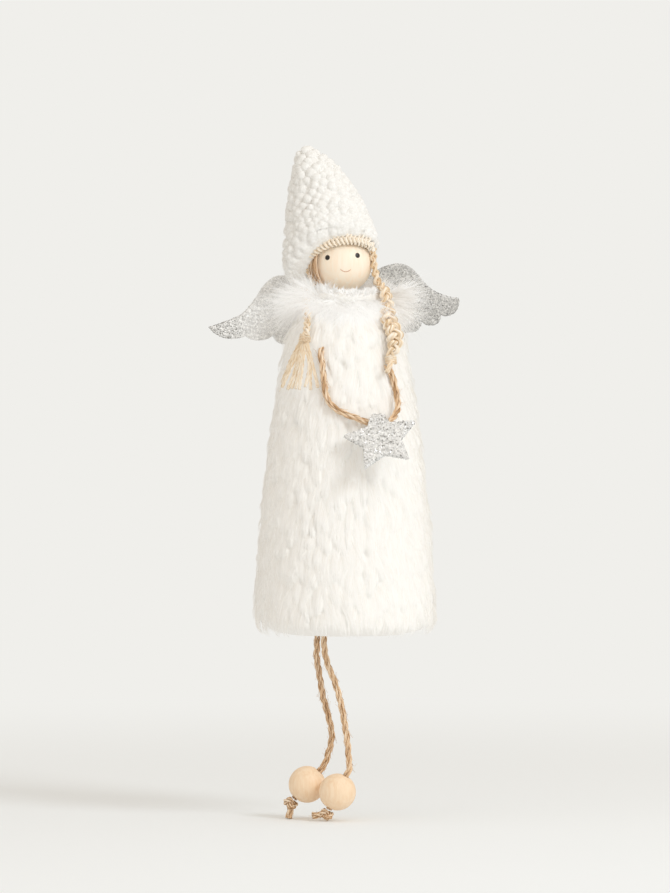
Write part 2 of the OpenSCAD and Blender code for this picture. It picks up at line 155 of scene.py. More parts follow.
# a grid of points closed round both directions
def ringGrid(grid):
    index = np.arange(grid.shape[0] * grid.shape[1]).reshape(grid.shape[:2])
    return grid.reshape(-1, 3), [quads(index, np.roll(index, -1, 0))]


# a profile of radius and height turned about an axis through a point, from its lower end up
def turned(profile, centre, axis, sides=96):
    axis = unit(np.asarray(axis, float))
    side = unit(np.cross(axis, [0.31, 0.87, 0.1]))
    a = turns(sides)
    ring = np.cos(a)[:, None] * side + np.sin(a)[:, None] * np.cross(axis, side)
    r, h = np.asarray(profile).T
    return np.asarray(centre) + r[:, None, None] * ring + h[:, None, None] * axis


# a mesh from points over the hem; each array of faces holds one size of face
def addPiece(name, body, material, points, faces, slot=None, replaces=(), uv=None, smooth=True):
    mesh = bpy.data.meshes.new(name)
    sizes = np.concatenate([np.full(len(f), f.shape[1]) for f in faces])
    corners = np.concatenate([f.ravel() for f in faces]).astype(np.int32)
    mesh.vertices.add(len(points))
    mesh.vertices.foreach_set("co", inFrame(points).astype(np.float32).ravel())
    mesh.loops.add(len(corners))
    mesh.loops.foreach_set("vertex_index", corners)
    mesh.polygons.add(len(sizes))
    mesh.polygons.foreach_set("loop_start", (np.cumsum(sizes) - sizes).astype(np.int32))
    mesh.polygons.foreach_set("use_smooth", np.full(len(sizes), smooth))
    if uv is not None:
        mesh.uv_layers.new(name="OFBake").uv.foreach_set("vector", uv[corners].astype(np.float32).ravel())
    mesh.update(calc_edges=True)
    mesh.validate()
    piece = bpy.data.objects.new(name, mesh)
    bpy.context.scene.collection.objects.link(piece)
    mesh.materials.append(material)
    if body:
        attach(piece, body)
    if replaces:
        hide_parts(*replaces)
    return piece


# fine white fibres pass light on, so they shade nothing else
def letLightThrough(piece):
    piece.visible_shadow = piece.visible_diffuse = False


# many fine fibres with flat faces turned to a field of directions
def fibrePiece(name, material, paths, thick, field, slot):
    points, faces = strands(paths, thick, 3, field, 0.5)
    letLightThrough(addPiece(name, "body", material, points, faces, slot=slot,
                             uv=strandMap(*paths.shape[:2], 3), smooth=False))


# joins several (points, faces) into one
def joined(*parts):
    start = np.cumsum([0] + [len(p) for p, _ in parts])
    return (np.vstack([p for p, _ in parts]),
            [f + s for (_, faces), s in zip(parts, start) for f in faces])


# sRGB hex to linear colour
def linear(hexColour):
    c = np.array([int(hexColour[i:i + 2], 16) for i in (1, 3, 5)]) / 255
    return (*np.where(c <= 0.04045, c / 12.92, ((c + 0.055) / 1.055) ** 2.4), 1.0)


# a node with its settings; a socket among the inputs is linked and any other value is set
def addNode(tree, kind, inputs=None, **settings):
    node = tree.nodes.new("ShaderNode" + kind)
    for key, value in settings.items():
        setattr(node, key, value)
    for key, value in (inputs or {}).items():
        if isinstance(value, bpy.types.NodeSocket):
            tree.links.new(value, node.inputs[key])
        else:
            node.inputs[key].default_value = value
    return node


# colour stops of a ramp, as pairs of place and hex
def setRamp(node, stops):
    ramp = node.color_ramp.elements
    while len(ramp) < len(stops):
        ramp.new(0.5)
    for element, (place, colour) in zip(ramp, stops):
        element.position = place
        element.color = linear(colour)
    return node.outputs["Color"]


# a material of one shader with its socket values
def newMaterial(name, **sockets):
    material = bpy.data.materials.new(name)
    material.use_nodes = True
    tree = material.node_tree
    tree.nodes.clear()
    shader = addNode(tree, "BsdfPrincipled", {k.replace("_", " "): v for k, v in sockets.items()})
    addNode(tree, "OutputMaterial", {"Surface": shader.outputs[0]})
    return material, tree, shader


# fibres: each strand has its own tint across the map, and a tone along it from root to tip; on the pale
# fibres the root is darker, painted shade down among them
def fibreMaterial(name, tints, along, **sockets):
    material, tree, shader = newMaterial(name, **sockets)
    uv = addNode(tree, "UVMap", uv_map="OFBake").outputs[0]
    split = addNode(tree, "SeparateXYZ", {"Vector": uv}).outputs
    tint, shade = (setRamp(addNode(tree, "ValToRGB", {"Fac": split[way]}), stops)
                   for way, stops in (("X", tints), ("Y", along)))
    mixed = addNode(tree, "Mix", {"Factor": 1.0, 6: tint, 7: shade}, data_type="RGBA", blend_type="MULTIPLY")
    tree.links.new(mixed.outputs[2], shader.inputs["Base Color"])
    return material


# the second ramp of each fibre runs from root to tip; where it is darker at the root it is painted shade
# among the fibres
acrylicPile = fibreMaterial(     # brushed acrylic plush: warm white, matte, with a soft bloom
    "acrylicPile", [(0.0, "#F5F3F0"), (0.4, "#F9F8F6"), (1.0, "#FDFCFB")],
    [(0.0, "#F8F5F0"), (0.5, "#FEFDFB"), (1.0, "#FFFFFF")],
    Roughness=0.8, Sheen_Weight=0.8, Sheen_Roughness=0.4, Specular_IOR_Level=0.2)
marabouDown = fibreMaterial(     # marabou: thin cool white barbs
    "marabouDown", [(0.0, "#F6F6F6"), (1.0, "#FFFFFF")], [(0.0, "#F4F4F4"), (1.0, "#FFFFFF")],
    Roughness=0.6, Sheen_Weight=0.3, Specular_IOR_Level=0.3)
sherpaLoops = fibreMaterial(     # sherpa: curled polyester loops, clean white
    "sherpaLoops", [(0.0, "#F8F7F5"), (1.0, "#FFFFFE")], [(0.0, "#F4F3F1"), (1.0, "#FFFFFF")],
    Roughness=0.7, Sheen_Weight=0.3, Specular_IOR_Level=0.25)
juteTwine = fibreMaterial(       # spun jute: dry golden tan fibres, no two yarns alike
    "juteTwine", [(0.0, "#AE8862"), (0.3, "#D6B38E"), (0.65, "#EDD0AF"), (1.0, "#FBEBD6")],
    [(0.0, "#FFFFFF"), (1.0, "#FDF8F0")], Roughness=0.8, Specular_IOR_Level=0.2)
juteHair = fibreMaterial(        # combed jute for the hair: paler straw
    "juteHair", [(0.0, "#D6BA94"), (0.25, "#EFDABC"), (0.6, "#FBECD6"), (1.0, "#FFF9EF")],
    [(0.0, "#FBF3E8"), (1.0, "#FFFFFF")], Roughness=0.75, Specular_IOR_Level=0.25)


# a pattern of a real size on the piece's own place gives the colour, and a fine bump where asked
def patternMaterial(name, texture, sizeMm, stops, bump=0.0, turn=None, settings=None, **sockets):
    material, tree, shader = newMaterial(name, **sockets)
    place = addNode(tree, "TexCoord").outputs["Object"]
    if turn:
        place = addNode(tree, "Mapping", {"Vector": place, **turn}).outputs[0]
    values = {"Vector": place, "Scale": 1 / (sizeMm * mm), **(settings or {})}
    pattern = addNode(tree, texture, values).outputs[0]
    tone = setRamp(addNode(tree, "ValToRGB", {"Fac": pattern}), stops)
    tree.links.new(tone, shader.inputs["Base Color"])
    if bump:
        raised = addNode(tree, "Bump", {"Height": pattern, "Strength": bump, "Distance": 0.2 * mm},
                         invert=texture == "TexVoronoi")
        tree.links.new(raised.outputs[0], shader.inputs["Normal"])
    return material


# plain knit and felt: rows of small loops, with painted shade between them
def clothMaterial(name, colour, dark, loopMm):
    return patternMaterial(name, "TexVoronoi", loopMm, [(0.1, colour), (0.8, dark)], 0.4,
                           Roughness=0.9, Specular_IOR_Level=0.2)


# turned and sanded wood: long fine grain that bends, with tiny pores
def woodMaterial(name, pale, dark, grainMm, roughness):
    return patternMaterial(
        name, "TexNoise", grainMm, [(0.3, dark), (0.62, pale)], 0.06,
        turn={"Rotation": (0.5, 0.35, 0.2), "Scale": (1, 1, 0.12)},
        settings={"Detail": 4.0, "Roughness": 0.6, "Distortion": 0.6}, Roughness=roughness)


# craft paint dabbed on by hand: a little thinner in places
def paintMaterial(name, colour, thin, roughness):
    return patternMaterial(name, "TexNoise", 0.5, [(0.35, colour), (0.75, thin)], settings={"Detail": 3.0},
                           Roughness=roughness)


# loose glitter in clear glue: each grain has its own painted glint, a brightness set by its cell or its
# flake's map
def glitterMaterial(name, stops, metallic, roughness, grainMm=0):
    material, tree, shader = newMaterial(name, Metallic=metallic, Roughness=roughness)
    if grainMm:
        place = addNode(tree, "TexCoord").outputs["Object"]
        grain = addNode(tree, "TexVoronoi", {"Vector": place, "Scale": 1 / (grainMm * mm)}).outputs["Color"]
    else:
        grain = addNode(tree, "UVMap", uv_map="OFBake").outputs[0]
    value = addNode(tree, "SeparateXYZ", {"Vector": grain}).outputs["X"]
    tone = setRamp(addNode(tree, "ValToRGB", {"Fac": value}), stops)
    tree.links.new(tone, shader.inputs["Base Color"])
    return material


backingCloth = clothMaterial("backingCloth", "#FCFAF4", "#F1ECE1", 0.7)    # knitted back of the plush
feltPanel = clothMaterial("feltPanel", "#F9F6EF", "#E9E3D6", 0.45)         # pressed felt of the base
sherpaBack = clothMaterial("sherpaBack", "#F8F7F5", "#EEECE8", 0.8)        # knit under the sherpa's loops
headWood = woodMaterial("headWood", "#FFF3E1", "#FFEAD1", 1.6, 0.5)        # peach stained bead
beadWood = woodMaterial("beadWood", "#FBE2C4", "#F4D4AF", 1.1, 0.5)        # bare birch bead
dowelWood = woodMaterial("dowelWood", "#DDBF92", "#C7A472", 0.8, 0.65)     # bare birch dowel
blackPaint = paintMaterial("blackPaint", "#191412", "#2E2824", 0.3)        # the eyes
brownPaint = paintMaterial("brownPaint", "#CF9B79", "#E0B799", 0.5)        # the mouth
# the paler copy of the foam, for parts that face the light; the grey sparkle of its cells is painted glints
glitterFoamLit = glitterMaterial(       # foam sheet under silver glitter: a grey sparkle
    "glitterFoamLit", [(0.0, "#C4C3C1"), (1.0, "#FCFBF9")], 0.15, 0.45, 0.45)
glitterShade = glitterMaterial(      # the same sheet where it is turned from the light
    "glitterShade", [(0.0, "#9A9895"), (1.0, "#DAD8D4")], 0.15, 0.45, 0.45)
glitterFlake = glitterMaterial(      # cut film flakes: from near black to white as they face the light
    "glitterFlake", [(0.0, "#2E2D2B"), (0.22, "#7A7976"), (0.4, "#D4D3D0"), (0.6, "#FFFFFF")], 0.3, 0.25)
print("materials made")

# camera, light and floor
stage = dict(photo=(670, 893), mmPerPixel=0.325, axisPixel=345, hemPixel=634, azimuth=-13, elevation=2.2,
             distance=3000, farthest=20, floorZ=-60.4, floorHalf=4000, floorFade=(0.16, 0.6),
             floor="#F8FBFD", paper="#F0EFEB", fill="#FBF4EA", fillLevels=(0.61, 0.9),
             lampAway=1500, lampAim=60,
             windowLight=dict(azimuth=29, elevation=31, size=0.5, energy=6.7, colour="#F0F8FF"),
             topLight=dict(azimuth=-30, elevation=70, size=1.6, energy=1.8, colour="#FFFFFF"))


# the camera stands where a photo pixel is its real size at the body's axis
def addCamera(scene):
    wide, high = stage["photo"]
    back = direction(stage["azimuth"], stage["elevation"])
    right = unit(np.cross([0, 0, 1.0], back))
    aim = stage["mmPerPixel"] * ((wide / 2 - stage["axisPixel"]) * right
                                 + (stage["hemPixel"] - high / 2) * np.cross(back, right))
    camera = bpy.data.objects.new("camera", bpy.data.cameras.new("camera"))
    camera.data.lens = camera.data.sensor_width * stage["distance"] / (high * stage["mmPerPixel"])
    camera.data.clip_end = stage["farthest"]     # metres
    camera.location = inFrame(aim + stage["distance"] * back)
    camera.rotation_euler = Vector(-back).to_track_quat("-Z", "Y").to_euler()
    scene.collection.objects.link(camera)
    scene.camera = camera


# a round lamp a set way out along its direction, turned back to the ornament
def addLight(scene, name):
    size = stage[name]
    lamp = bpy.data.lights.new(name, "AREA")
    lamp.shape = "DISK"
    lamp.size, lamp.energy, lamp.color = size["size"], size["energy"], linear(size["colour"])[:3]
    light = bpy.data.objects.new(name, lamp)
    ray = direction(size["azimuth"], size["elevation"])
    light.location = inFrame(stage["lampAway"] * ray + [0, 0, stage["lampAim"]])
    light.rotation_euler = Vector(ray).to_track_quat("Z", "Y").to_euler()
    scene.collection.objects.link(light)


# a warm fill that is weaker on the side away from the window; the camera sees plain paper
def addWorld(scene):
    scene.world = bpy.data.worlds.new("studio")
    scene.world.use_nodes = True
    tree = scene.world.node_tree
    tree.nodes.clear()
    ray = addNode(tree, "LightPath").outputs
    seen = addNode(tree, "Math", {0: ray["Is Camera Ray"], 1: ray["Is Transmission Ray"]},
                   operation="MAXIMUM")
    around = addNode(tree, "TexCoord").outputs["Generated"]
    facing = addNode(tree, "VectorMath", {0: around, 1: direction(stage["windowLight"]["azimuth"])},
                     operation="DOT_PRODUCT")
    weak, strong = stage["fillLevels"]
    level = addNode(tree, "MapRange", {"Value": facing.outputs["Value"], "From Min": -1.0, "From Max": 1.0,
                                       "To Min": weak, "To Max": strong})
    fill = addNode(tree, "Background", {"Color": linear(stage["fill"]), "Strength": level.outputs[0]})
    paper = addNode(tree, "Background", {"Color": linear(stage["paper"]), "Strength": 1.0})
    mixed = addNode(tree, "MixShader", {0: seen.outputs[0], 1: fill.outputs[0], 2: paper.outputs[0]})
    addNode(tree, "OutputWorld", {"Surface": mixed.outputs[0]})


# paper floor: matt near the object and fading into the plain background for the camera
def addFloor():
    corners = stage["floorHalf"] * np.array([[-1, -1, 0], [1, -1, 0], [1, 1, 0], [-1, 1, 0]], float)
    paper, tree, shader = newMaterial("paperFloor", Base_Color=linear(stage["floor"]), Roughness=0.9,
                                      Specular_IOR_Level=0.1)
    place = addNode(tree, "TexCoord").outputs["Object"]
    level = addNode(tree, "VectorMath", {0: place, 1: (1, 1, 0)}, operation="MULTIPLY")
    away = addNode(tree, "VectorMath", {0: level.outputs[0]}, operation="LENGTH")
    near, far = stage["floorFade"]
    fade = addNode(tree, "MapRange", {"Value": away.outputs["Value"], "From Min": near, "From Max": far},
                   interpolation_type="SMOOTHSTEP")
    seen = addNode(tree, "LightPath").outputs["Is Camera Ray"]
    fade = addNode(tree, "Math", {0: fade.outputs[0], 1: seen}, operation="MULTIPLY")
    glow = addNode(tree, "Emission", {"Color": linear(stage["paper"]), "Strength": 1.0})
    mixed = addNode(tree, "MixShader", {0: fade.outputs[0], 1: shader.outputs[0], 2: glow.outputs[0]})
    tree.links.new(mixed.outputs[0], tree.nodes["Material Output"].inputs["Surface"])
    floor = addPiece("paper_floor", None, paper, corners + [0, 0, stage["floorZ"]],
                     [np.array([[0, 1, 2, 3]])])


bpy.context.scene.view_settings.view_transform = "Standard"
addCamera(bpy.context.scene)
addLight(bpy.context.scene, "windowLight")
addLight(bpy.context.scene, "topLight")
addWorld(bpy.context.scene)
addFloor()
print("camera, light and floor set")

# body shape, as the frame's cover has it
plush = dict(hemR=29, shoulderR=19.5, shoulderZ=92, rise=18.5, neckR=6.5, swell=1.6)


# a swelling cone up to the shoulders, then a rounded dome to the neck
def bodyRadius(z):
    p = plush
    share = z / p["shoulderZ"]
    skirt = lerp(p["hemR"], p["shoulderR"], share) + p["swell"] * np.sin(np.pi * z / p["shoulderZ"])
    turn = np.pi / 2 * rampUp(z, p["shoulderZ"], p["rise"])
    return np.where(share < 1, skirt, p["neckR"] + (p["shoulderR"] - p["neckR"]) * np.cos(turn))


# outwards, tipped by the outline's slope
def bodyNormal(az, z):
    slope = (bodyRadius(z + 0.05) - bodyRadius(z - 0.05)) / 0.1
    return unit(direction(az) - slope[..., None] * [0, 0, 1])


# a point over the body's surface, lifted square to it
def bodyPoint(az, z, lift):
    az, z, lift = np.broadcast_arrays(*(np.asarray(x, float) for x in (az, z, lift)))
    return (bodyRadius(z)[..., None] * direction(az) + z[..., None] * [0, 0, 1]
            + lift[..., None] * bodyNormal(az, z))


# twine: three plies of spun yarn
twine = dict(radius=1.15, plies=3, lay=11.0, yarns=9, yarnLay=8.0, plyOffset=0.6, yarnOffset=0.34,
             yarnR=0.16, sides=5, uneven=0.12, waves=(9, 40), step=0.4, gap=0.35, hairR=0.045,
             hairs=dict(length=5.0, lift=1.1, skin=0.95))


# each ply circles the path once a lay, and each yarn circles its ply the other way
def twinePaths(path, run, ref, scale=1.0):
    t = twine
    _, side, up = frames(path, ref)
    ply = turns(t["plies"])[:, None]
    a = ply + tau * run / (t["lay"] * scale)
    b = turns(t["yarns"])[:, None, None] + ply - tau * run / (t["yarnLay"] * scale)
    x, y = (scale * (t["plyOffset"] * f(a) + t["yarnOffset"] * f(b)) for f in (np.cos, np.sin))
    return (path + x[..., None] * side + y[..., None] * up).reshape(-1, len(path), 3)


# fine hairs that have worked loose: each leaves the twine's skin and bends away from it
def looseHairs(path, ref, count, length, lift, skin):
    way, side, up = frames(path, ref)
    edge = min(int(length / np.linalg.norm(path[1] - path[0])), len(path) // 3)
    i = rng.integers(edge, len(path) - edge, count)
    a = column(0, tau, count)
    t = np.linspace(0, 1, 5)[:, None]
    radial = np.cos(a) * side[i] + np.sin(a) * up[i]
    across = np.cross(way[i], radial)
    reach = (column(0.4, 1.0, count) * length * rng.choice([-1, 1], (count, 1)))[:, None]
    bend = rng.normal(0, 0.5, (count, 1))[:, None]
    stand = (column(0.3, 1.0, count) * lift)[:, None]
    return ((path[i] + skin * radial)[:, None] + way[i][:, None] * reach * t * (1 - 0.3 * t)
            + radial[:, None] * stand * t**1.4 + across[:, None] * bend * lift * t**2)


# yarn tubes and loose hairs as one piece, each strand with its own tint and its own waves in thickness
def yarnPiece(name, body, material, bundles, palest=0.0, **extra):
    parts, maps = [], []
    for paths, radius, sides in bundles:
        count, steps = paths.shape[:2]
        along = np.linspace(0, 1, steps)
        wave = 1 + twine["uneven"] * np.sin(along * column(*twine["waves"], count) + column(0, 6, count))
        parts.append(strands(paths, radius * wave, sides))
        maps.append(strandMap(count, steps, sides, palest))
    points, faces = joined(*parts)
    return addPiece(name, body, material, points, faces, uv=np.vstack(maps), slot="jute", **extra)


# a length of twine with its loose hairs
def twinePiece(name, body, path, run, ref, hairs, **extra):
    return yarnPiece(name, body, juteTwine, [
        (twinePaths(path, run, ref), twine["yarnR"], twine["sides"]),
        (looseHairs(path, ref, hairs, **twine["hairs"]), twine["hairR"], 3)], **extra)


# arms: one length of twine from shoulder to shoulder, threaded through the star's fold; each row is an
# azimuth, a height over the shoulders and a lift, and the two ends are tucked into the pile
arms = dict(left=[[-36.3, 1.8, -3.4], [-35, 0, 0], [-32.7, -4.2, 0], [-31.2, -8, 0], [-29.6, -11.6, 0],
                  [-27, -15, 0], [-22, -17.6, 0], [-15.5, -19.3, 0.1], [-9, -20.5, 0.4], [-3, -21.5, 0.8]],
            right=[[26.5, -19, 2.6], [30.5, -16, 1.1], [32, -12.8, 0.2], [31, -9.3, 0], [28.5, -6.4, 0],
                   [27.2, -4.4, -3.4]],
            starAz=10, starDrop=22.9, starRun=3.6, hairs=90)
star = dict(radius=12.5, waist=0.52, thickness=1.5, tilt=36, yaw=-22, turn=15, drop=7.5, sleeve=4.3,
            boreGap=0.08, steps=400, sleeveSides=64, tints=(0.22, 1.0), flakes=2500, sleeveFlakes=260)


# points over the body on each side, and a straight run through the fold, which stands off the body by the
# star's thickness and by half its sleeve where it slants
def armRoute():
    base = twine["radius"] + twine["gap"]
    left, right = (bodyPoint(p[:, 0], plush["shoulderZ"] + p[:, 1], base + p[:, 2])
                   for p in (np.array(arms[side], float) for side in ("left", "right")))
    lift = (twine["radius"] + star["boreGap"] + star["thickness"] + twine["gap"]
            + star["sleeve"] / 2 * np.sin(np.radians(arms["starAz"] - star["yaw"])))
    fold = bodyPoint(arms["starAz"], plush["shoulderZ"] - arms["starDrop"], lift)
    yaw = np.radians(star["yaw"])
    way = np.array([np.cos(yaw), np.sin(yaw), 0])
    return np.vstack([left, fold + np.outer([-1, 0, 1], arms["starRun"] * way), right]), fold, way


armPoints, starFold, foldWay = armRoute()
armPath, armRun = smoothPath(armPoints, twine["step"])
armTwine = twinePiece("arm_twine", "arms", armPath, armRun, armPath * [1, 1, 0], arms["hairs"],
                      replaces=["arm_cord"])
print("arm twine", round(armRun[-1], 1), "mm")

# legs: each hangs out of the base, through its foot bead, to a knot
feet = dict(radius=6, bore=2.8, lip=0.4, gap=1.5, mid=[-7.8, -0.9, -50], between=[7.6, -11, -1.8], lead=2,
            knotLength=3.6, hipZ=-3.6, inside=2.0, hairs=70, bend=1.6, anchor=[-8.2, -0.2, 3.1])
legs = dict(
    left=dict(route=[[-9.1, 1.1, -3.6], [-9.2, 1.3, -7], [-8.6, 1.5, -11], [-7.8, 1.6, -15.5], [-7, 1.8, -20],
                     [-5.8, 1.8, -24.5], [-4.6, 1.7, -29], [-4, 1.8, -32.5], [-4.3, 2.1, -36],
                     [-5.2, 2.6, -39.5]],
              way=[0.65, -0.15, 0.75], side=-1, tail=[-0.1, 0, -1], tailLength=5.0),
    right=dict(route=[[-7.3, -1.5, -3.6], [-6.9, -1.9, -7], [-6, -2.4, -10.5], [-4.5, -3.2, -14.5],
                      [-3.1, -3.8, -19], [-2.1, -4.5, -24], [-1.2, -5.2, -29.5], [-0.5, -5.8, -35],
                      [-0.3, -6.6, -40]],
               way=[0.45, -0.1, 0.89], side=1, tail=[-1, 0.2, -0.1], tailLength=4.5))


# a bead turned about its hole: the ball, two rounded lips and the bore
def beadMesh(centre, axis, radius, bore, lip):
    edge = bore + lip
    top = np.sqrt(radius**2 - edge**2)
    ball = np.linspace(-1, 1, 49)[:, None] * np.arctan2(top, edge)
    ball = radius * np.hstack([np.cos(ball), np.sin(ball)])
    bend = np.linspace(0.15, 1, 6)[:, None] * np.pi / 2
    upper = np.hstack([edge - lip * np.sin(bend), top - lip * (1 - np.cos(bend)) * 0.9])
    return ringGrid(turned(np.vstack([ball, upper, upper[::-1] * [1, -1]]), centre, axis))


# knots: the same twine, drawn tight
knots = dict(size=[0.56, 0.56, 0.85], scale=0.82, yarnR=0.17, sides=4, tailScale=0.95, tailR=0.2, fray=1.25,
             bow=[[0, 0, 0], [0.15, 0.1, 0], [0, 0, 0]], hairs=dict(count=16, length=4.0, lift=1.0, skin=0.7))


# an overhand knot drawn tight: a trefoil curve with a cut tail
def knotPiece(name, body, centre, axis, tail, tailLength, **extra):
    k = knots
    t = np.linspace(0, tau, 90)
    axis = unit(np.array(axis, float))
    side = unit(np.cross(axis, [0.2, 1, 0.1]))
    loop = np.stack([np.sin(t) + 2 * np.sin(2 * t), np.cos(t) - 2 * np.cos(2 * t), -np.sin(3 * t)], 1)
    loop = centre + loop * k["size"] @ np.stack([side, np.cross(axis, side), axis])
    end, endRun = smoothPath(centre + np.outer([0, 0.5, 1], unit(np.array(tail, float)) * tailLength)
                             + k["bow"], twine["step"])
    fray = np.linspace(1, k["fray"], len(end))[:, None]
    ref = np.array([0.3, 1.0, 0.2])
    tailPaths = end + (twinePaths(end, endRun, ref, k["tailScale"]) - end) * fray
    loopPaths = twinePaths(loop, runOf(loop), np.broadcast_to(axis, loop.shape), k["scale"])
    return yarnPiece(name, body, juteTwine, [
        (loopPaths, k["yarnR"], k["sides"]), (tailPaths, k["tailR"], k["sides"]),
        (looseHairs(end, ref, **k["hairs"]), twine["hairR"], 3)], **extra)


# a leg's twine runs from inside the base through its bead, which stands beside the other one, to the knot
def addLeg(name):
    leg = legs[name]
    way, between = unit(np.array(leg["way"])), unit(np.array(feet["between"], float))
    foot = feet["mid"] + leg["side"] * (feet["radius"] + feet["gap"] / 2) * between
    knotStart = feet["radius"] + twine["gap"]
    hip = np.array(leg["route"][0])
    ends = np.outer([feet["radius"] + feet["lead"], 0, -knotStart], way)
    points = np.vstack([hip + [0, 0, feet["inside"] - feet["hipZ"]], leg["route"], foot + ends])
    path, run = smoothPath(points, twine["step"])
    bead = addPiece(name + "_foot_wood", name + "_foot", beadWood,
                    *beadMesh(foot, way, feet["radius"], feet["bore"] / 2, feet["lip"]),
                    slot="bead_wood", replaces=[name + "_foot_bead"])
    knot = knotPiece(name + "_knot_twine", name + "_leg", foot - (knotStart + feet["knotLength"] / 2) * way,
                     way, leg["tail"], leg["tailLength"], replaces=[name + "_foot_knot"])
    cord = twinePiece(name + "_leg_twine", None, path, run, np.array([0.1, 1.0, 0.05]), feet["hairs"],
                      replaces=[name + "_leg_cord"])
    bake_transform(cord)
    print(name, "leg twine", round(run[-1], 1), "mm")


addLeg("left")
addLeg("right")
knotPiece("anchor_knot", "body", np.array(feet["anchor"]), [0, 0, 1], [0.3, 0.2, 1], 1.5,
          replaces=["leg_anchor"])

# plush body: a knitted skin blown up by a short cloth run, under combed pile
pile = dict(inset=1.3, baseZ=0.35, topZ=108.5, skinIn=0.2, voxel=4.0, pressure=4.0, cap=0.9, blown=0.6,
            locks=1700, length=11, wide=2.1, high=1.65, sway=9, soften=0.1, hairs=14, loft=0.3, hairR=0.1,
            sectors=6, hemTuck=1.3, tuckUp=8, hemRise=6, roll=0.3, rows=60, sides=72, narrowest=2.2, levels=3,
            clothFrames=20, topFade=2, rimIn=5, rimFade=3, strew=(0.9, 2.5), above=3.5,
            vary=(0.18, 0.18, 0.22), ripple=6)


# a closed skin remeshed and run as cloth under pressure, each point held to a cap
def inflate(points, faces):
    scene = bpy.context.scene
    skin = addPiece("skin", None, backingCloth, points, faces)
    remesh = skin.modifiers.new("Remesh", "REMESH")
    remesh.mode = "VOXEL"
    remesh.voxel_size = pile["voxel"] * mm
    skin.data = bpy.data.meshes.new_from_object(skin.evaluated_get(bpy.context.evaluated_depsgraph_get()))
    skin.modifiers.clear()
    count = len(skin.data.vertices)
    start, ended = np.empty((2, count * 3), np.float32)
    corners = np.empty(len(skin.data.loops), np.int32)
    skin.data.vertices.foreach_get("co", start)
    skin.data.loops.foreach_get("vertex_index", corners)
    cloth = skin.modifiers.new("Cloth", "CLOTH")
    cloth.settings.use_pressure = True
    cloth.settings.uniform_pressure_force = pile["pressure"]
    cloth.settings.effector_weights.gravity = 0
    for step in range(pile["clothFrames"]):
        scene.frame_set(step + 1)
    skin.evaluated_get(bpy.context.evaluated_depsgraph_get()).data.vertices.foreach_get("co", ended)
    start, ended = start.reshape(-1, 3), ended.reshape(-1, 3)
    far = np.linalg.norm(ended - start, axis=1, keepdims=True)
    ended = start + (ended - start) * np.minimum(1, pile["cap"] * mm / np.maximum(far, 1e-9))
    bpy.data.objects.remove(skin)
    scene.frame_set(1)
    print("cloth run,", count, "points, moved up to", round(float(far.max()) / mm, 2), "mm")
    return ended / mm - [0, 0, hemZ], [corners.reshape(-1, 4)]


# how far a height is along the body's outline from its hem
outlineZ = np.linspace(0, 111, 600)
outlineRun = runOf(np.stack([outlineZ, bodyRadius(outlineZ)], 1))


# locks of pile, set evenly by area and the golden angle: root, length, width, height, lean and ripple
def makeLocks():
    p = pile
    count = p["locks"]
    share = np.cumsum(bodyRadius(outlineZ) * np.gradient(outlineRun))
    place = (np.arange(count) + 0.5) / count
    run = np.interp(place, share / share[-1], outlineRun) + rng.normal(0, p["strew"][0], count)
    az = (goldenAngle * np.arange(count) + rng.normal(0, p["strew"][1], count)) % 360
    ways = rng.normal(0, 1, (5, count))
    length, wide, high = (p[key] * (1 + vary * way)
                          for key, vary, way in zip(("length", "wide", "high"), p["vary"], ways))
    return dict(run=run + p["above"], az=az, length=length, wide=wide, high=high,
                lean=np.radians(p["sway"] * ways[3]), ripple=p["ripple"] * ways[4])


# a lock's height at a place: it swells from its root, is round across, and drops at its tip
def lockHeight(along, across, lock):
    v = np.clip(along / lock["length"], 0, 1)
    tip = rampUp(v, 0.62, 0.38)
    wide = lock["wide"] * (0.75 + 0.25 * np.sin(np.pi * v)) * np.sqrt(1 - 0.9 * tip**2)
    dome = np.sqrt(np.clip(1 - (across / wide) ** 2, 0, 1))
    ripple = 1 + 0.09 * np.cos(tau * across / 1.3 + lock["ripple"])
    return lock["high"] * rampUp(v, 0, 0.7) ** 0.8 * np.sqrt(1 - tip**2.4) * dome * ripple


# the pile's height at each place is that of the highest lock over it
def pileHeight(az, z, locks):
    run, radius = np.interp(z, outlineZ, outlineRun), bodyRadius(z)
    height = np.zeros(len(z))
    for part in np.array_split(np.argsort(run), 80):
        near = (locks["run"] > run[part].min() - 3) & (locks["run"] < run[part].max() + 18)
        lock = {k: v[near] for k, v in locks.items()}
        down = lock["run"] - run[part, None]
        aside = np.radians((az[part, None] - lock["az"] + 180) % 360 - 180) * radius[part, None]
        along = down * np.cos(lock["lean"]) + aside * np.sin(lock["lean"])
        across = aside * np.cos(lock["lean"]) - down * np.sin(lock["lean"])
        height[part] = lockHeight(along, across, lock).max(1)
    return height


# the pile rises over the hem as a quarter round, and the skin is tucked in under it
def hemShape(z):
    rise = rampUp(z, pile["baseZ"], pile["hemRise"])
    return np.sqrt(rise * (2 - rise)), pile["hemTuck"] * (1 - rampUp(z, 0, pile["tuckUp"])) ** 2


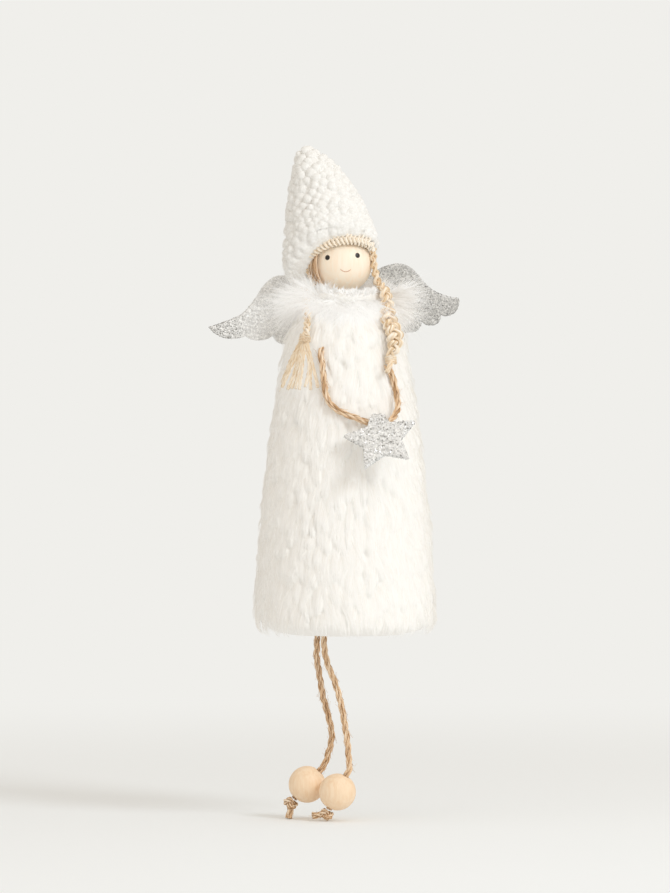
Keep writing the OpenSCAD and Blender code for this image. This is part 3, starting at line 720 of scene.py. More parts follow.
# the blown-up skin, subdivided, with the locks raised out of it; its normals lean to the body's own
def addBody(locks):
    p = pile
    z = np.linspace(p["baseZ"], p["topZ"], p["rows"])
    radius = bodyRadius(z) - p["inset"] - p["skinIn"] - hemShape(z)[1]
    side = np.stack([np.maximum(radius, p["narrowest"]), z], 1)
    profile = np.vstack([[0.05, p["baseZ"]], side[0] * [0.5, 1], side[0] * [0.97, 1], side[1:],
                         [0.05, p["topZ"] + 0.2]])
    points, faces = inflate(*closedGrid(turned(profile, [0, 0, 0], [0, 0, 1], p["sides"])))
    skin = addPiece("plush_skin", "body", acrylicPile, points, faces, slot="plush",
                    replaces=["body_cover", "body_stuffing"])
    smooth = skin.modifiers.new("Smooth", "SUBSURF")
    smooth.levels = smooth.render_levels = p["levels"]
    skin.data = bpy.data.meshes.new_from_object(skin.evaluated_get(bpy.context.evaluated_depsgraph_get()))
    skin.modifiers.clear()
    place, own = np.empty((2, len(skin.data.vertices) * 3), np.float32)
    skin.data.vertices.foreach_get("co", place)
    place = place.reshape(-1, 3) / mm - [0, 0, hemZ]
    place[:, 2] = np.maximum(place[:, 2], p["baseZ"])     # flat where the felt is sewn on
    az, z = np.degrees(np.arctan2(place[:, 0], -place[:, 1])), place[:, 2]
    normal = bodyNormal(az, np.clip(z, 0, 110))
    top = np.clip((p["topZ"] - z) / p["topFade"], 0, 1)
    rim = np.hypot(place[:, 0], place[:, 1]) - bodyRadius(z) + p["rimIn"]     # none under the hem
    rim = np.clip(rim / p["rimFade"], 0, 1)
    lift = pileHeight(az, z, locks) * rim * top * hemShape(z)[0]
    place = place + lift[:, None] * normal
    skin.data.vertices.foreach_set("co", inFrame(place).astype(np.float32).ravel())
    skin.data.update()
    skin.data.vertices.foreach_get("normal", own)
    softer = unit(lerp(own.reshape(-1, 3), normal, p["soften"] * (rim * top)[:, None]))
    skin.data.normals_split_custom_set_from_vertices(softer.astype(np.float32))
    uv = np.full(len(skin.data.loops) * 2, 0.5, np.float32)
    skin.data.uv_layers.new(name="OFBake").uv.foreach_set("vector", uv)
    print("plush skin of", len(place), "points")


# fine hairs combed along each lock, over its back and a little past its tip
def addPile(locks):
    p = pile
    size = (p["locks"], p["hairs"], 1)
    lock = {k: v[:, None, None] for k, v in locks.items()}
    v = rng.uniform(0.0, 0.45, size) + np.linspace(0, 0.62, 5) * rng.uniform(0.75, 1.0, size)
    across = rng.uniform(-1, 1, size) * lock["wide"] * np.linspace(0.95, 0.6, 5) * (1 - 0.35 * v)
    along = v * lock["length"]
    lift = lockHeight(np.minimum(along, 0.8 * lock["length"]), 0.9 * across, lock)
    rise = np.array([-0.5, 0.5, 1.0, 1.0, 0.8]) * rng.uniform(0.2, 1.0, size)
    run = lock["run"] - (along * np.cos(lock["lean"]) - across * np.sin(lock["lean"]))
    aside = along * np.sin(lock["lean"]) + across * np.cos(lock["lean"])
    z = np.interp(run, outlineRun, outlineZ)
    az = lock["az"] + np.degrees(aside / bodyRadius(z))
    lowest = rng.uniform(-1.0, 0.4, size)
    keep = (run[..., 0] < outlineRun[-1] - 4) & (z[..., 2] > 2.5)
    hem, tuck = hemShape(z)
    skinLift = -p["inset"] - p["skinIn"] + p["blown"] - tuck
    paths = bodyPoint(az, np.maximum(z, lowest), skinLift + (lift + p["loft"] * rise) * hem)[keep]
    level = direction(az + 90)     # to the hair's side
    field = (bodyNormal(az, z) + (across / lock["wide"])[..., None] * p["roll"] * level)[keep]
    thick = (p["hairR"] * np.array([0.6, 1, 1, 0.8, 0.25]) * rng.uniform(0.7, 1.2, size))[keep]
    sector = ((az[..., 0] % 360)[keep] // (360 / p["sectors"])).astype(int)
    for k in range(p["sectors"]):
        own = sector == k
        fibrePiece("plush_pile_%d" % k, acrylicPile, paths[own], thick[own], field[own], "plush")
    print("pile of", len(paths), "hairs")


# a thin felt disc with a rounded rim
def addBase():
    profile = [[0.05, 0.35], [10, 0.32], [19, 0.32], [19.8, 0.38], [20.2, 0.6], [20, 1.4], [19, 1.5],
               [0.05, 1.5]]
    addPiece("felt_base", "body", feltPanel, *closedGrid(turned(profile, [0, 0, 0], [0, 0, 1])), slot="felt",
             replaces=["base_panel"])


bodyLocks = makeLocks()
addBody(bodyLocks)
addPile(bodyLocks)
addBase()

# head: a turned bead with a small painted face
head = dict(centre=np.array([-1.087, 0, 120.843]), radius=10, bore=2.0, lip=0.4, lean=[-1.087, 0, 14.8],
            eyes=dict(left_eye=[-41, 9.5], right_eye=[18.8, 13.6]), eyeR=0.85, mouthR=0.13,
            mouth=[[-16, -11.7], [-11.5, -15.2], [-5.8, -16.9], [0.3, -15.6], [4.5, -12.5]])


# a point over the head by azimuth and elevation
def headPoint(az, el, lift):
    return head["centre"] + (head["radius"] + lift) * direction(az, el)


# the bead, a raised drop of paint for each eye, and a thin line for the mouth
def addHead():
    h = head
    addPiece("head_wood_bead", "body", headWood,
             *beadMesh(h["centre"], h["lean"], h["radius"], h["bore"], h["lip"]),
             slot="head_wood", replaces=["head_bead"])
    drop = np.array([[0.02, -0.3], [0.99, -0.12], [1.0, 0.0], [0.9, 0.08], [0.6, 0.17], [0.02, 0.24]])
    for name, (az, el) in h["eyes"].items():
        at = headPoint(az, el, 0)
        addPiece(name, "body", blackPaint,
                 *closedGrid(turned(drop * [h["eyeR"], 1], at, at - h["centre"], 40)), slot="head_wood")
    path = smoothPath(headPoint(*np.array(h["mouth"], float).T, 0.02), 0.15)[0]
    thick = h["mouthR"] * np.sin(np.pi * np.linspace(0.08, 0.92, len(path))) ** 0.4
    addPiece("mouth", "body", brownPaint, *strands(path[None], thick[None], 8), slot="head_wood")


# hat: rings of shrinking radius along a bending centre line, the brim slanting down to the back
hat = dict(height=36, radius=14.6, wall=2.3, slant=42, levelling=2.7, brim=2.05, shift=2.2, lean=(4.5, 4),
           setBack=3.5, taper=(1.7, 0.62), rows=210, cols=300, insideRows=18, insideTop=0.5, lipRows=12,
           edge=0.03, nubs=310, nubR=1.7, nubHigh=1.35, nubDome=0.62, nubSizes=(0.8, 1.2),
           nubHeights=(0.65, 1.15), loops=4, loopR=0.42, loopTilt=0.45, fibreR=0.07,
           lip=(1.9, 1.6), lipUp=0.13, lipDrop=0.085, lipNubs=108, lipHigh=0.8, sunk=0.45,
           tilt=dict(right=0.085, left=0.09, front=0.012, upTo=0.5), bulge=2.0, bulgeUp=0.22)


# the centre line leans left and back as it rises
def hatCentre(s):
    v = np.radians(hat["slant"])
    start = head["centre"] + hat["brim"] * np.array([0, np.sin(v), np.cos(v)])
    x = -hat["shift"] - hat["lean"][0] * s - hat["lean"][1] * s**4
    return start + np.stack([x, hat["setBack"] * (1 - (1 - s) ** 3), hat["height"] * s], -1)


# the radius's share of the brim's, a blunt cone
def hatTaper(s):
    power, blunt = hat["taper"]
    return np.clip(1 - np.clip(s, 0, 1) ** power, 0, 1) ** blunt


# a point at a height share and an angle; the rings come level as they rise
def hatPoint(s, a, extra):
    v = np.radians(hat["slant"] * (1 - np.clip(s, 0, 1)) ** hat["levelling"])
    ring = np.stack(np.broadcast_arrays(np.cos(a), np.sin(a) * np.cos(v), -np.sin(a) * np.sin(v)), -1)
    return hatCentre(s) + (hat["radius"] * hatTaper(s) + extra)[..., None] * ring


# the brim is tilted: higher on the right, lower on the left, and a little lower at the front
def hatLevel(s, a):
    t = hat["tilt"]
    lift = (t["right"] * np.clip(np.cos(a), 0, 1) ** 2 - t["left"] * np.clip(-np.cos(a), 0, 1) ** 2
            - t["front"] * np.clip(-np.sin(a), 0, 1) ** 2)
    return s + lift * (1 - rampUp(s, 0, t["upTo"]))


# the brim flares on the left, by a bell curve of the height
def hatBulge(s, a):
    return hat["bulge"] * np.exp(-((s / hat["bulgeUp"]) ** 2)) * np.clip(-np.cos(a), 0, 1)


# normals of a grid closed round its second direction
def gridNormals(grid):
    return unit(np.cross(np.roll(grid, -1, 1) - np.roll(grid, 1, 1), np.gradient(grid, axis=0)))


# nubs: round domes on evenly spread centres, the highest one holding at each point
def nubHeight(points, centres, radius, high):
    height = np.zeros(len(points))
    for part in np.array_split(np.arange(len(points)), 12):
        far = ((points[part, None] - centres) ** 2).sum(-1)
        height[part] = (high * np.clip(1 - far / radius**2, 0, 1) ** hat["nubDome"]).max(1)
    return height


# one grid of rings for the inside, the lip and the outside, raised by nubs, with curls over them
def addHat():
    h = hat
    a = turns(h["cols"])
    inside = np.linspace(h["insideTop"], h["edge"], h["insideRows"])
    roll = np.linspace(-np.pi / 2, np.pi / 2, h["lipRows"])
    outside = (h["edge"] + 0.9696 * (1 - (1 - np.linspace(0, 1, h["rows"])) ** 1.25))[1:]

    # one value a row: down the inside, round the lip and up the outside
    def byRow(inner, lip, outer):
        return np.concatenate([inner + 0 * inside, lip + 0 * roll, outer + 0 * outside])[:, None]

    level = byRow(inside, h["edge"], outside)
    s = hatLevel(level, a) - h["lipDrop"] * byRow(0, np.cos(roll), 0)
    # the lip swells inwards to the hair, most on the left
    swell = byRow(np.exp(-((inside - h["edge"]) / h["lipUp"]) ** 2), (1 - np.sin(roll)) / 2, 0)
    extra = byRow(-h["wall"], h["wall"] / 2 * (np.sin(roll) - 1), 0)
    extra = extra - swell * (h["lip"][0] + h["lip"][1] * (0.5 - 0.5 * np.cos(a)))
    extra = extra + byRow(0, (1 + np.sin(roll)) / 2, 1) * hatBulge(level, a)
    grid = hatPoint(s, a, np.maximum(extra, 0.05 - h["radius"] * hatTaper(s)))
    normal = gridNormals(grid)
    # nub centres by area and the golden angle, and three rows of them round the lip
    place = np.linspace(0, 0.985, 300)
    share = np.cumsum(hatTaper(place) + 0.06)
    k = np.arange(h["nubs"])
    nubS = np.interp((k + 0.5) / h["nubs"], share / share[-1], place)
    nubS = np.clip(nubS + rng.normal(0, 0.008, h["nubs"]), 0, 0.99)
    nubA = 2.39996 * k + rng.normal(0, 0.05, h["nubs"])     # the golden angle in radians
    centres = hatPoint(hatLevel(nubS, nubA), nubA, hatBulge(nubS, nubA))
    radius = h["nubR"] * rng.uniform(*h["nubSizes"], h["nubs"])
    high = h["nubHigh"] * rng.uniform(*h["nubHeights"], h["nubs"])
    around = np.arange(h["lipNubs"])
    lipA = tau * around / h["lipNubs"] + rng.normal(0, 0.04, h["lipNubs"])
    lip = grid[around % 3 * 6 + 15, np.round(lipA / tau * h["cols"]).astype(int) % h["cols"]]
    lift = nubHeight(grid.reshape(-1, 3), np.vstack([centres, lip]),
                     np.append(radius, np.full(len(lip), h["nubR"])),
                     np.append(high, np.full(len(lip), h["lipHigh"] * h["nubHigh"]))).reshape(grid.shape[:2])
    lift *= rampUp(np.arange(len(s)), 8, 6)[:, None]     # none deep inside
    addPiece("sherpa_hat", "body", sherpaBack, *closedGrid(grid + (lift - h["sunk"])[..., None] * normal),
             slot="sherpa", replaces=["hat", "hat_stuffing"])
    # curls: part rings of fibre that arch out of each nub
    first = h["insideRows"] + h["lipRows"] - 1
    row = np.abs(level[first:, 0] - nubS[:, None]).argmin(1) + first
    face = normal[row, np.round(nubA / tau * h["cols"]).astype(int) % h["cols"]]
    along = unit(np.cross(face, [0.3, 0.2, 1.0]))
    across = np.cross(face, along)
    size = (h["nubs"], h["loops"], 1)
    turn, place = rng.uniform(0, tau, (2, *size))
    off = np.sqrt(rng.uniform(0, 1, size)) * 0.85
    spot = off * (np.cos(place) * along[:, None] + np.sin(place) * across[:, None])
    wide = radius[:, None, None]
    dome = np.sqrt(np.clip(1 - (off * 1.1) ** 2 / wide**2 * 2.0, 0.05, 1))
    dome = (high / 0.95)[:, None, None] * dome * 0.9 - 0.62
    foot = centres[:, None] + spot * wide + dome * face[:, None]
    flat = np.cos(turn) * along[:, None] + np.sin(turn) * across[:, None]
    bend = np.linspace(-0.5, 3.6, 6)
    ringR = (h["loopR"] * rng.uniform(0.6, 1.2, size))[:, :, None]
    tilt = rng.normal(0, h["loopTilt"], size)[:, :, None]
    side = np.cross(face[:, None], flat)
    paths = (foot[:, :, None] + ringR * (
        np.cos(bend)[:, None] * flat[:, :, None]
        + np.sin(bend)[:, None] * (0.85 * face[:, None, None] + tilt * side[:, :, None])
        + 0.25 * np.sin(2 * bend)[:, None] * side[:, :, None])).reshape(-1, 6, 3)
    thick = np.broadcast_to(h["fibreR"] * np.array([0.7, 1, 1, 1, 1, 0.5]), paths.shape[:2])
    field = np.broadcast_to((face[:, None] + 0.45 * spot)[:, :, None], (*size[:2], 6, 3)).reshape(-1, 6, 3)
    fibrePiece("sherpa_curls", sherpaLoops, paths, thick, field, "sherpa")
    print("hat with", h["nubs"], "nubs and", len(paths), "curls")


addHead()
addHat()

# hair: plaits of three strands, each a few yarns twisted together
hair = dict(
    step=0.3, fuzzR=0.04,
    fringe=dict(reach=11.8, start=-104, end=48, slant=41.5, wide=2.45, deep=1.4, pitch=4.0, yarns=11,
                yarnR=0.2, fall=1.6, fallFrom=38, fallOver=13, taper=40, narrow=0.45, palest=0.8,
                fuzz=dict(count=50, length=3.5, lift=0.9, skin=1.5)),
    left=dict(route=[[-12.6, -0.8, 118.8], [-11, -1, 114.6], [-11.9, -3.2, 113.2], [-13.6, -5.5, 111.6],
                     [-13.9, -7.8, 108.6], [-15.8, -12.8, 98.7], [-16.4, -13.3, 96.5]],
              wide=[1.2, 1.1, 0.9, 0.8, 1.0, 1.2, 1.2], deep=[1.2, 1.1, 0.9, 0.8, 1.0, 1.2, 1.2],
              pitch=5.5, yarns=9, tieAz=-51, tieZ=95.7, bend=[[-12.3, -0.9, 118], [-11.3, -1, 115.6]]),
    right=dict(route=[[7.9, -6.2, 125.2], [8.4, -5.9, 119.4], [9.5, -7.4, 113.5], [10.7, -10.7, 112.3],
                      [10.8, -12.7, 109.4], [11.3, -13.9, 102.5], [12.5, -16.2, 98.7], [12.2, -18.1, 94.2],
                      [10.5, -19.3, 91.5], [10.6, -19.6, 89.6]],
               wide=[1.2, 1.3, 1.6, 2.1, 2.8, 3.9, 4.2, 3.4, 1.3, 1.2],
               deep=[1.2, 1.2, 1.4, 1.5, 1.7, 1.9, 2, 1.8, 1.2, 1.2],
               pitch=8, yarns=13, tieAz=28.5, tieZ=89.2, bend=[[8.1, -6.1, 122.9], [8.6, -6, 119]]),
    tie=dict(radius=2.0, length=3.0, lift=2.35, turns=3.6, scale=0.42),
    tassel=dict(yarns=9, length=16.5, spread=22.5, turn=-7, lift=1.3, scale=0.56, steps=28, frayed=20,
                frayFrom=8, palest=0.05),
    tail=dict(length=5.2, scale=0.8, down=-0.8, aside=-0.62, lift=0.9, yarnR=0.18,
              bow=[[0, 0, 0], [0, -0.2, 0.1], [0, 0, 0]]),
    tress=dict(yarns=40, radius=0.13, start=(-92, -60), sway=4, drift=(-8, 8), top=(12, 22), foot=(-52, -30)),
    fuzz=dict(count=45, length=4.0, lift=1.0, skin=1.3))


# strands weave side to side and over and under along the path, a third of a turn apart
def plaitPaths(path, run, ref, wide, deep, size):
    _, side, up = frames(path, ref)
    third = turns(3)[:, None]
    phase = tau * run / size["pitch"] + third
    a = turns(size["yarns"])[:, None, None] + tau * run / (1.7 * size["pitch"]) + third
    across = 0.6 * wide * np.sin(phase) + 0.27 * wide * np.cos(a)
    over = 0.5 * deep * np.sin(2 * phase) + 0.3 * deep * np.sin(a)
    return (path + across[..., None] * up + over[..., None] * side).reshape(-1, len(path), 3)


# a plait whose width and depth follow its route's points
def routePlait(size):
    path, run = smoothPath(size["route"], hair["step"])
    chord = runOf(np.array(size["route"], float))
    chord *= run[-1] / chord[-1]
    wide, deep = np.interp(run, chord, size["wide"]), np.interp(run, chord, size["deep"])
    ref = path * [1, 1, 0] + [0, 0, 2.0]
    return plaitPaths(path, run, ref, wide, deep, size), 0.09 + 0.055 * wide, path, ref


# a tie: twine wound as a coil about the plait's end, and the directions it stands in
def tiePaths(size):
    t = hair["tie"]
    normal = bodyNormal(np.float64(size["tieAz"]), np.float64(size["tieZ"]))
    up = unit(np.array([0, 0, 1.0]) - normal[2] * normal)
    level = np.cross(up, normal)
    centre = bodyPoint(size["tieAz"], size["tieZ"], t["lift"])
    u = np.linspace(0, 1, 90)[:, None]
    a = tau * t["turns"] * u
    path = (centre + (t["radius"] - twine["radius"] * t["scale"]) * (np.cos(a) * level + np.sin(a) * normal)
            + t["length"] * 0.36 * (2 * u - 1) * up)
    coil = twinePaths(path, runOf(path), np.broadcast_to(up, path.shape), t["scale"])
    return coil, centre, up, normal, level


# a plait on a slanting ring about the head, and a loose tress beside the face down to the collar, in the
# darker twine's colour as painted shade under the hat
def addFringe():
    f, tress = hair["fringe"], hair["tress"]
    degrees = np.linspace(f["start"], f["end"], 90)
    a, v = np.radians(degrees)[:, None], np.radians(f["slant"])
    out = np.hstack([np.sin(a), -np.cos(a) * np.cos(v), np.cos(a) * np.sin(v)])
    path = head["centre"] + f["reach"] * out
    # its right end turns down, and its left end tapers
    path[:, 2] -= f["fall"] * rampUp(degrees, f["fallFrom"], f["fallOver"]) ** 2
    run = f["reach"] * (a[:, 0] - a[0, 0])
    wide = f["wide"] * lerp(f["narrow"], 1, rampUp(degrees, f["start"], f["taper"]))
    plait = plaitPaths(path, run, out, wide, f["deep"], f)
    t = np.linspace(0, 1, 14)
    count = tress["yarns"]
    start, sway = column(*tress["start"], count), rng.normal(0, tress["sway"], (count, 1))
    az = start + sway * np.sin(2.6 * t + column(0, 6, count)) + column(*tress["drift"], count) * t
    el = lerp(column(*tress["top"], count), column(*tress["foot"], count), t)
    loose = headPoint(az, el, 0.35 + rng.uniform(0, 1.1, (count, 1, 1)) + 0.5 * np.sin(3.1 * t)[:, None])
    fuzz = looseHairs(path, out, **f["fuzz"])
    yarnPiece("fringe_plait", "body", juteHair, [(plait, f["yarnR"], 5), (fuzz, hair["fuzzR"], 3)],
              f["palest"], replaces=["hair_fringe"])
    # the tress is combed hair in the twine's darker colour: painted shade beside the face, under the hat
    yarnPiece("left_tress", "body", juteTwine, [(loose, tress["radius"], 4)])


# a braid with its tie; the right one's twine ends in a short tail
def addBraid(name):
    size, tail = hair[name], hair["tail"]
    body = name + "_braid"
    plait, thick, path, ref = routePlait(size)
    fuzz = looseHairs(path, ref, **hair["fuzz"])
    braid = yarnPiece(name + "_plait", None, juteHair, [(plait, thick, 5), (fuzz, hair["fuzzR"], 3)],
                      replaces=[name + "_braid"])
    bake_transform(braid)     # its top stays at the temple
    coil, centre, up, normal, level = tiePaths(size)
    bundles = [(coil, 0.1, 4)]
    if name == "right":
        reach = tail["length"] * unit(tail["down"] * up + tail["aside"] * level)
        end, endRun = smoothPath(centre + np.outer([0, 0.5, 1], reach) + tail["lift"] * normal + tail["bow"],
                                 twine["step"])
        tailPaths = twinePaths(end, endRun, np.broadcast_to(normal, end.shape), tail["scale"])
        bundles.append((tailPaths, tail["yarnR"], twine["sides"]))
    yarnPiece(name + "_tie_wrap", body, juteHair, bundles, replaces=[name + "_braid_tie"])


# tassel: thin twines that leave the tie together, fan out and settle on the body
def addTassel():
    p, size = hair["tassel"], hair["left"]
    count = p["yarns"]
    w = np.linspace(-1, 1, count)[:, None] + rng.normal(0, 0.05, (count, 1))
    s = np.linspace(0, 1, p["steps"])
    long = p["length"] * column(0.86, 0.98, count) * (1 - 0.08 * w**2)
    z = size["tieZ"] - 0.4 - long * s
    fan = lerp(1.0 / bodyRadius(z) * 57.3, p["spread"], s**0.9)     # degrees, from 1 mm to each side
    sway = rng.normal(0, 0.9, (count, 1)) * np.sin(5 * s + column(0, 6, count))
    az = size["tieAz"] + p["turn"] * s + w * fan + sway
    lift = lerp(hair["tie"]["lift"], p["lift"] + column(-0.35, 0.55, count), np.minimum(1, 1.5 * s))
    paths = bodyPoint(az, z, lift + 0.25 * np.sin(4 * s + column(0, 6, count)))
    frayed = paths[rng.integers(0, count, p["frayed"]), p["frayFrom"]:]
    wander = np.linspace(0.6, 1.4, frayed.shape[1])[:, None]
    frayed = frayed + rng.normal(0, 0.5, (p["frayed"], 1, 3)) * wander
    plies = np.vstack([twinePaths(path, runOf(path), path * [1, 1, 0], p["scale"]) for path in paths])
    letLightThrough(yarnPiece(
        "tassel_yarns", "left_braid", juteHair, [(plies, twine["yarnR"] * p["scale"], 4), (frayed, 0.09, 3)],
        p["palest"], replaces=["left_tassel"]))


addFringe()
addBraid("left")
addBraid("right")
addTassel()
print("hair made")

# collar: a cord core with plumes of fine barbs standing out of it, and a ruff of short plumes
collar = dict(ring=11.88, z=109.03, tube=2.45, core=0.84, around=120, section=24, plumes=600, ruff=220,
              barbs=23, barbR=0.06, gather=1.5, front=45, overBraid=(-74, 26), underBraid=(44, 9),
              sweep=0.3, sag=0.2, rise=dict(back=(-55, 32), front=(-80, -5), left=(-30, 75)),
              long=dict(back=(9.5, 15), front=(6, 10)),
              ruffRise=dict(back=(60, 140), front=(25, 130)), ruffLong=dict(back=(4, 7), front=(1.1, 1.9)),
              leave=(0, 0.6), turn=(0.1, 0.75), reach=(0.55, 1.0), droop=(0.02, 0.22), curl=0.22)


# a ring of round section; each plume stands at its own rise and azimuth, and its barbs bend off its spine
def addCollar():
    c = collar
    core = c["core"] * c["tube"]
    a, b = turns(c["around"]), turns(c["section"])[:, None]
    r = c["ring"] + core * np.cos(b)
    torus = np.stack(np.broadcast_arrays(r * np.cos(a), r * np.sin(a), c["z"] + core * np.sin(b)), -1)
    addPiece("collar_core", "body", sherpaBack, *ringGrid(torus), slot="feather", replaces=["feather_collar"])
    count = c["plumes"] + c["ruff"]
    az = goldenAngle * np.arange(count) % 360 - 180
    ruff = (np.arange(count) >= c["plumes"])[:, None]     # closes round the neck, most of it at the front
    az = np.where(ruff[:, 0], 180 * np.sign(az) * (np.abs(az) / 180) ** c["gather"], az)
    out, level = direction(az), direction(az + 90)
    front = np.exp(-(az / c["front"]) ** 4)[:, None]
    middle, spread = c["overBraid"]
    left = np.exp(-((az - middle) / spread) ** 4)[:, None]     # plumes stand over the left braid
    middle, spread = c["underBraid"]
    right = np.exp(-((az - middle) / spread) ** 2)[:, None]     # and are pressed under the right one

    # values that change from the back's range to the front's
    def backToFront(span):
        return lerp(column(*span["back"], count), column(*span["front"], count), front)

    rise = backToFront(c["rise"])
    rise = lerp(rise, column(*c["rise"]["left"], count), left)
    rise = np.radians(np.where(ruff, backToFront(c["ruffRise"]), rise))
    stand = np.cos(rise) * out + np.sin(rise) * [0, 0, 1]
    root = c["ring"] * out + [0, 0, c["z"]] + core * stand
    long = backToFront(c["long"])
    long = np.where(ruff, backToFront(c["ruffLong"]), long)
    long = long * (1 - 0.3 * left) * (1 - 0.6 * right)
    sweep = rng.normal(0, c["sweep"], (count, 1))
    spine = unit(stand + sweep * level - c["sag"] * np.array([0, 0, 1]) * (1 - front) * ~ruff)
    side = unit(np.cross(spine, [0.1, 0.2, 1.0]) + rng.normal(0, 0.4, (count, 3)))
    # each barb leaves the plume's spine at its own place and turns off to one side
    size = (count, c["barbs"], 1, 1)
    t = np.linspace(0, 1, 4)[:, None]
    leave = rng.uniform(*c["leave"], size)
    turn = rng.choice([-1, 1], size) * rng.uniform(*c["turn"], size)
    long, spine, side = (x[:, None, None] for x in (long, spine, side))
    reach = long * (1 - 0.45 * leave) * rng.uniform(*c["reach"], size)
    droop, curl = rng.uniform(*c["droop"], size), rng.normal(0, c["curl"], (*size[:2], 1, 3))
    paths = (root[:, None, None] + spine * long * leave * 0.5
             + reach * t * (spine * np.cos(turn) + side * np.sin(turn))
             + reach * t**2 * (curl - droop * np.array([0, 0, 1]))).reshape(-1, 4, 3)
    bold = np.repeat(1 + 1.6 * ruff * front, c["barbs"], axis=0)     # the short front barbs are stouter
    thick = bold * c["barbR"] * np.array([1, 1, 0.75, 0.25])
    field = (0.7 * out + 0.4 * stand + [0, 0, 0.35])[:, None, None]
    field = np.broadcast_to(field, (*size[:2], 4, 3)).reshape(-1, 4, 3)
    for name, own in (("left", paths[:, 0, 0] < 0), ("right", paths[:, 0, 0] >= 0)):
        fibrePiece("marabou_" + name, marabouDown, paths[own], thick[own], field[own], "feather")
    print("collar of", len(paths), "barbs")


addCollar()

# wings and star: foam sheet with square flakes of glitter glued on it; each wing has its edges, its foam
# and the darkest and palest flakes at its root and its tip, which paint glare and shade on its glitter
wing = dict(
    thickness=2.0, length=42, root=0.9, centreZ=104.0, midY=15.63, roll=-6.4, rows=150, lastRow=41.4,
    tipRows=[41.75, 41.93], sides=40, square=0.3, wave=0.35, waveLength=6.5, sway=0.6, flakes=6500,
    tipFrom=27, tipOver=8,
    # the left wing: paler flakes at the root, a painted glare, and darker ones at the tip, painted shade
    left=dict(sign=-1, foam=glitterFoamLit, tints=((0.45, 0.0), (1.0, 0.32)),
              lower=[[0, 0.2], [8, -0.6], [12.5, -4.6], [14.5, -8.1], [17.2, -8.1], [20, -8], [20.8, -4.8],
                     [22.2, -6], [24.8, -6], [28.5, -5.8], [30, -3.9], [31.5, -4.4], [34, -4.4], [39.4, -4],
                     [42, 0.3]],
              upper=[[0, 7], [4, 7.2], [8, 10.4], [12, 14.2], [16.5, 14.2], [19.5, 14.2], [23, 10.6],
                     [27, 5.4], [30.5, 3.2], [35, 1.5], [42, 0.3]]),
    # the right wing: the shaded foam and dim flakes, painted shade all over
    right=dict(sign=1, foam=glitterShade, tints=((0.05, 0.05), (0.7, 0.65)),
               lower=[[0, 0.2], [9, -1.5], [18, -6.5], [21, -9.4], [24.2, -9.3], [28.2, -9.4], [28.4, -5.6],
                      [29, -7.6], [31.4, -7.8], [34.8, -8.2], [35.3, -4.6], [36, -5.4], [37.5, -5.4],
                      [42, -5], [42, 0]],
               upper=[[0, 7.6], [4, 7.6], [8, 8.6], [15, 13.4], [22, 13.6], [26.5, 13.6], [30, 7.4],
                      [34, 1.4], [42, 0]]))
flake = dict(half=0.19, thick=0.05, tilt=0.4, lift=0.05, tints=32)


# quadratic curves end to end, each from one even point to the next through the odd point's pull
def curveEdge(points):
    p = np.array(points, float)
    t = np.linspace(0, 1, 30)[:, None]
    a, b, c = p[:-2:2, None], p[1:-1:2, None], p[2::2, None]
    return (a * (1 - t) ** 2 + 2 * b * t * (1 - t) + c * t**2).reshape(-1, 2)


# places and normals spread over quads by their area
def scatter(points, faces, count):
    corner = points[np.vstack([faces[:, [0, 1, 2]], faces[:, [0, 2, 3]]])]
    area = np.cross(corner[:, 1] - corner[:, 0], corner[:, 2] - corner[:, 0])
    big = np.linalg.norm(area, axis=1)
    pick = np.searchsorted(np.cumsum(big) / big.sum(), rng.uniform(0, 1, count)).clip(0, len(big) - 1)
    u, v = np.sort(rng.uniform(0, 1, (2, count, 1)), axis=0)
    place = corner[pick, 0] * u + corner[pick, 1] * (v - u) + corner[pick, 2] * (1 - v)
    return place, unit(area[pick])


# thin square plates, each turned and tilted its own way about the surface's normal
def addFlakes(name, body, place, normal, darkest, palest):
    count, tints = len(place), flake["tints"]
    facing = unit(normal + rng.normal(0, flake["tilt"], (count, 3)))
    along = unit(np.cross(facing, rng.normal(0, 1, (count, 3))))
    half = flake["half"] * column(0.65, 1.25, count)
    corner = np.array([[-1, -1], [1, -1], [1, 1], [-1, 1]], float)
    plate = (corner[:, :1] * (half * along)[:, None]
             + corner[:, 1:] * (half * np.cross(facing, along))[:, None])
    middle = (place + flake["lift"] * normal)[:, None] + plate
    deep = flake["thick"] / 2 * facing[:, None]
    points = np.stack([middle - deep, middle + deep], 1).reshape(-1, 3)
    cube = np.array([[3, 2, 1, 0], [4, 5, 6, 7], [0, 1, 5, 4], [1, 2, 6, 5], [2, 3, 7, 6], [3, 0, 4, 7]])
    faces = (8 * np.arange(count)[:, None, None] + cube).reshape(-1, 4)
    tint = np.floor(tints * lerp(darkest, palest, rng.uniform(0, 0.999, count))) + 0.5
    tint = tint[:, None] / tints + np.tile([-0.3, 0.3, 0.3, -0.3], 2) / tints
    tall = np.tile([0.3, 0.3, 0.7, 0.7], 2) + 0 * tint
    addPiece(name, body, glitterFlake, points, [faces], slot="glitter_foam",
             uv=np.stack([tint, tall], -1).reshape(-1, 2), smooth=False)


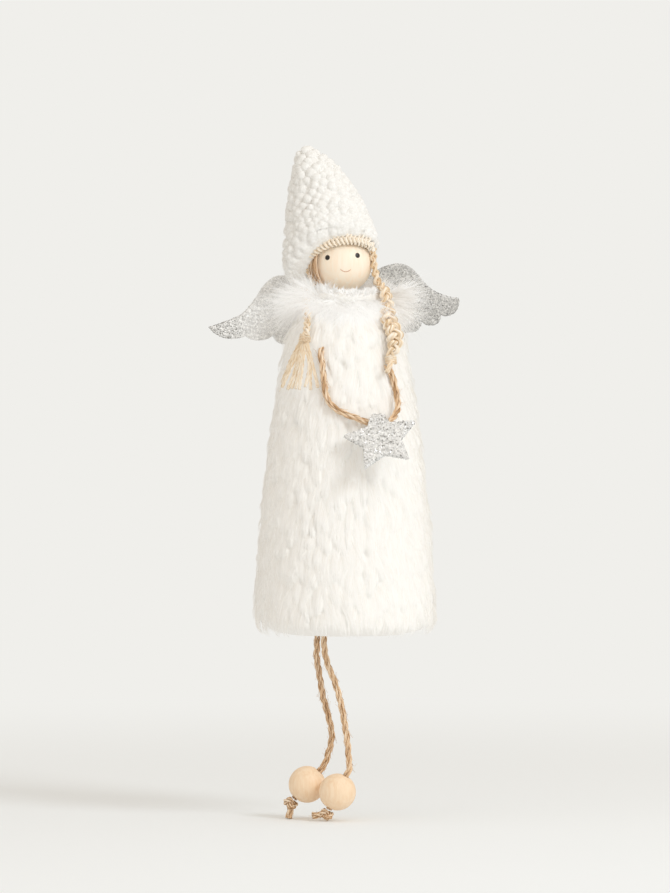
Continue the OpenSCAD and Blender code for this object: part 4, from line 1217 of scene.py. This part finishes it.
# a wing: a flat rounded section carried from root to tip between a lower and an upper edge
def addWing(side):
    w, own = wing, wing[side]
    name, sign = side + "_wing", own["sign"]
    x = np.concatenate([np.linspace(0, w["lastRow"], w["rows"]), w["tipRows"]])
    low, high = (np.interp(x, *curveEdge(own[k]).T) for k in ("lower", "upper"))
    a = turns(w["sides"])
    flat, tall = (np.sign(f) * np.abs(f) ** w["square"] for f in (np.cos(a), np.sin(a)))
    half = (high - low) / 2
    wave = w["wave"] * np.sin(x / w["waveLength"])
    z = ((high + low) / 2)[:, None] + half[:, None] * tall
    thick = w["thickness"] / 2 * flat * np.clip(0.45 + half / 1.5, 0, 1)[:, None]
    y = w["midY"] + wave[:, None] * w["sway"] - thick
    across = sign * (w["root"] + x * (w["length"] - w["root"]) / w["length"])
    across = np.broadcast_to(across[:, None], z.shape)
    v = np.radians(w["roll"])
    grid = np.stack([across * np.cos(v) + z * np.sin(v), y,
                     w["centreZ"] - across * np.sin(v) + z * np.cos(v)], -1)
    points, faces = closedGrid(grid[:, ::sign])
    addPiece(name + "_foam", name, own["foam"], points, faces, slot="glitter_foam", replaces=[name])
    place, normal = scatter(points, faces[0], w["flakes"])
    # from root to tip the flakes take the tip's tints, which paints the glare and shade set above
    far = rampUp(np.abs(place[:, 0]), w["tipFrom"], w["tipOver"])
    addFlakes(name + "_glitter", name, place, normal, *(lerp(near, tip, far) for near, tip in own["tints"]))


# the star: a plate whose edge runs straight from tip to notch, cut off at the fold, and the folded tip
# as a sleeve round the twine
def addStar():
    s = star
    a = turns(s["steps"])
    fold = np.degrees(a - np.radians(90 + s["turn"])) % 72
    fold = np.radians(np.minimum(fold, 72 - fold))
    tip, notch, point = s["radius"], s["radius"] * s["waist"], np.radians(36)
    edge = tip * notch * np.sin(point) / (tip * np.sin(fold) + notch * np.sin(point - fold))
    edge = sum(np.roll(edge, k) for k in range(-1, 2)) / 3
    cut = (s["drop"] - 0.2) / np.maximum(np.sin(a), 1e-3)
    edge = np.where(np.sin(a) > 0, np.minimum(edge, cut), edge)
    front = np.array([[0.005, -1], [0.4, -1], [0.8, -1], [0.965, -0.97], [0.99, -0.8], [1, -0.4]])
    rows = np.vstack([front, front[::-1] * [1, -1]])
    bore = twine["radius"] + s["boreGap"]
    flat = rows[:, :1] * edge
    x = flat * np.cos(a) + s["drop"] * np.tan(np.radians(s["turn"]))
    z = flat * np.sin(a) - s["drop"]
    deep = -bore - s["thickness"] / 2 + 0 * x - s["thickness"] / 2 * rows[:, 1:]
    v = np.radians(-s["tilt"])
    ahead = np.array([-foldWay[1], foldWay[0], 0])     # from the fold straight back towards the body
    grid = (starFold + x[..., None] * foldWay + (deep * np.cos(v) - z * np.sin(v))[..., None] * ahead
            + (deep * np.sin(v) + z * np.cos(v))[..., None] * [0, 0, 1])
    plate = closedGrid(grid)
    outer, half, sides = bore + s["thickness"], s["sleeve"] / 2, s["sleeveSides"]
    end = np.array([[bore, -half + 0.3], [bore + 0.2, -half], [outer - 0.35, -half],
                    [outer - 0.1, -half + 0.1], [outer, -half + 0.4]])
    sleeve = ringGrid(turned(np.vstack([end, end[::-1] * [1, -1]]), starFold, foldWay, sides))
    points, faces = joined(plate, sleeve)
    addPiece("star_foam", "star", glitterFoamLit, points, faces, slot="glitter_foam", replaces=["star"])
    outside = sleeve[1][0][sides:9 * sides]     # all but the bore
    ends = [scatter(plate[0], plate[1][0], s["flakes"]), scatter(sleeve[0], outside, s["sleeveFlakes"])]
    addFlakes("star_glitter", "star", *(np.vstack(k) for k in zip(*ends)), *s["tints"])


addWing("left")
addWing("right")
addStar()
print("wings and star made")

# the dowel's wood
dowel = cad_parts["neck_dowel"]
dowel.data.materials.clear()
dowel.data.materials.append(dowelWood)
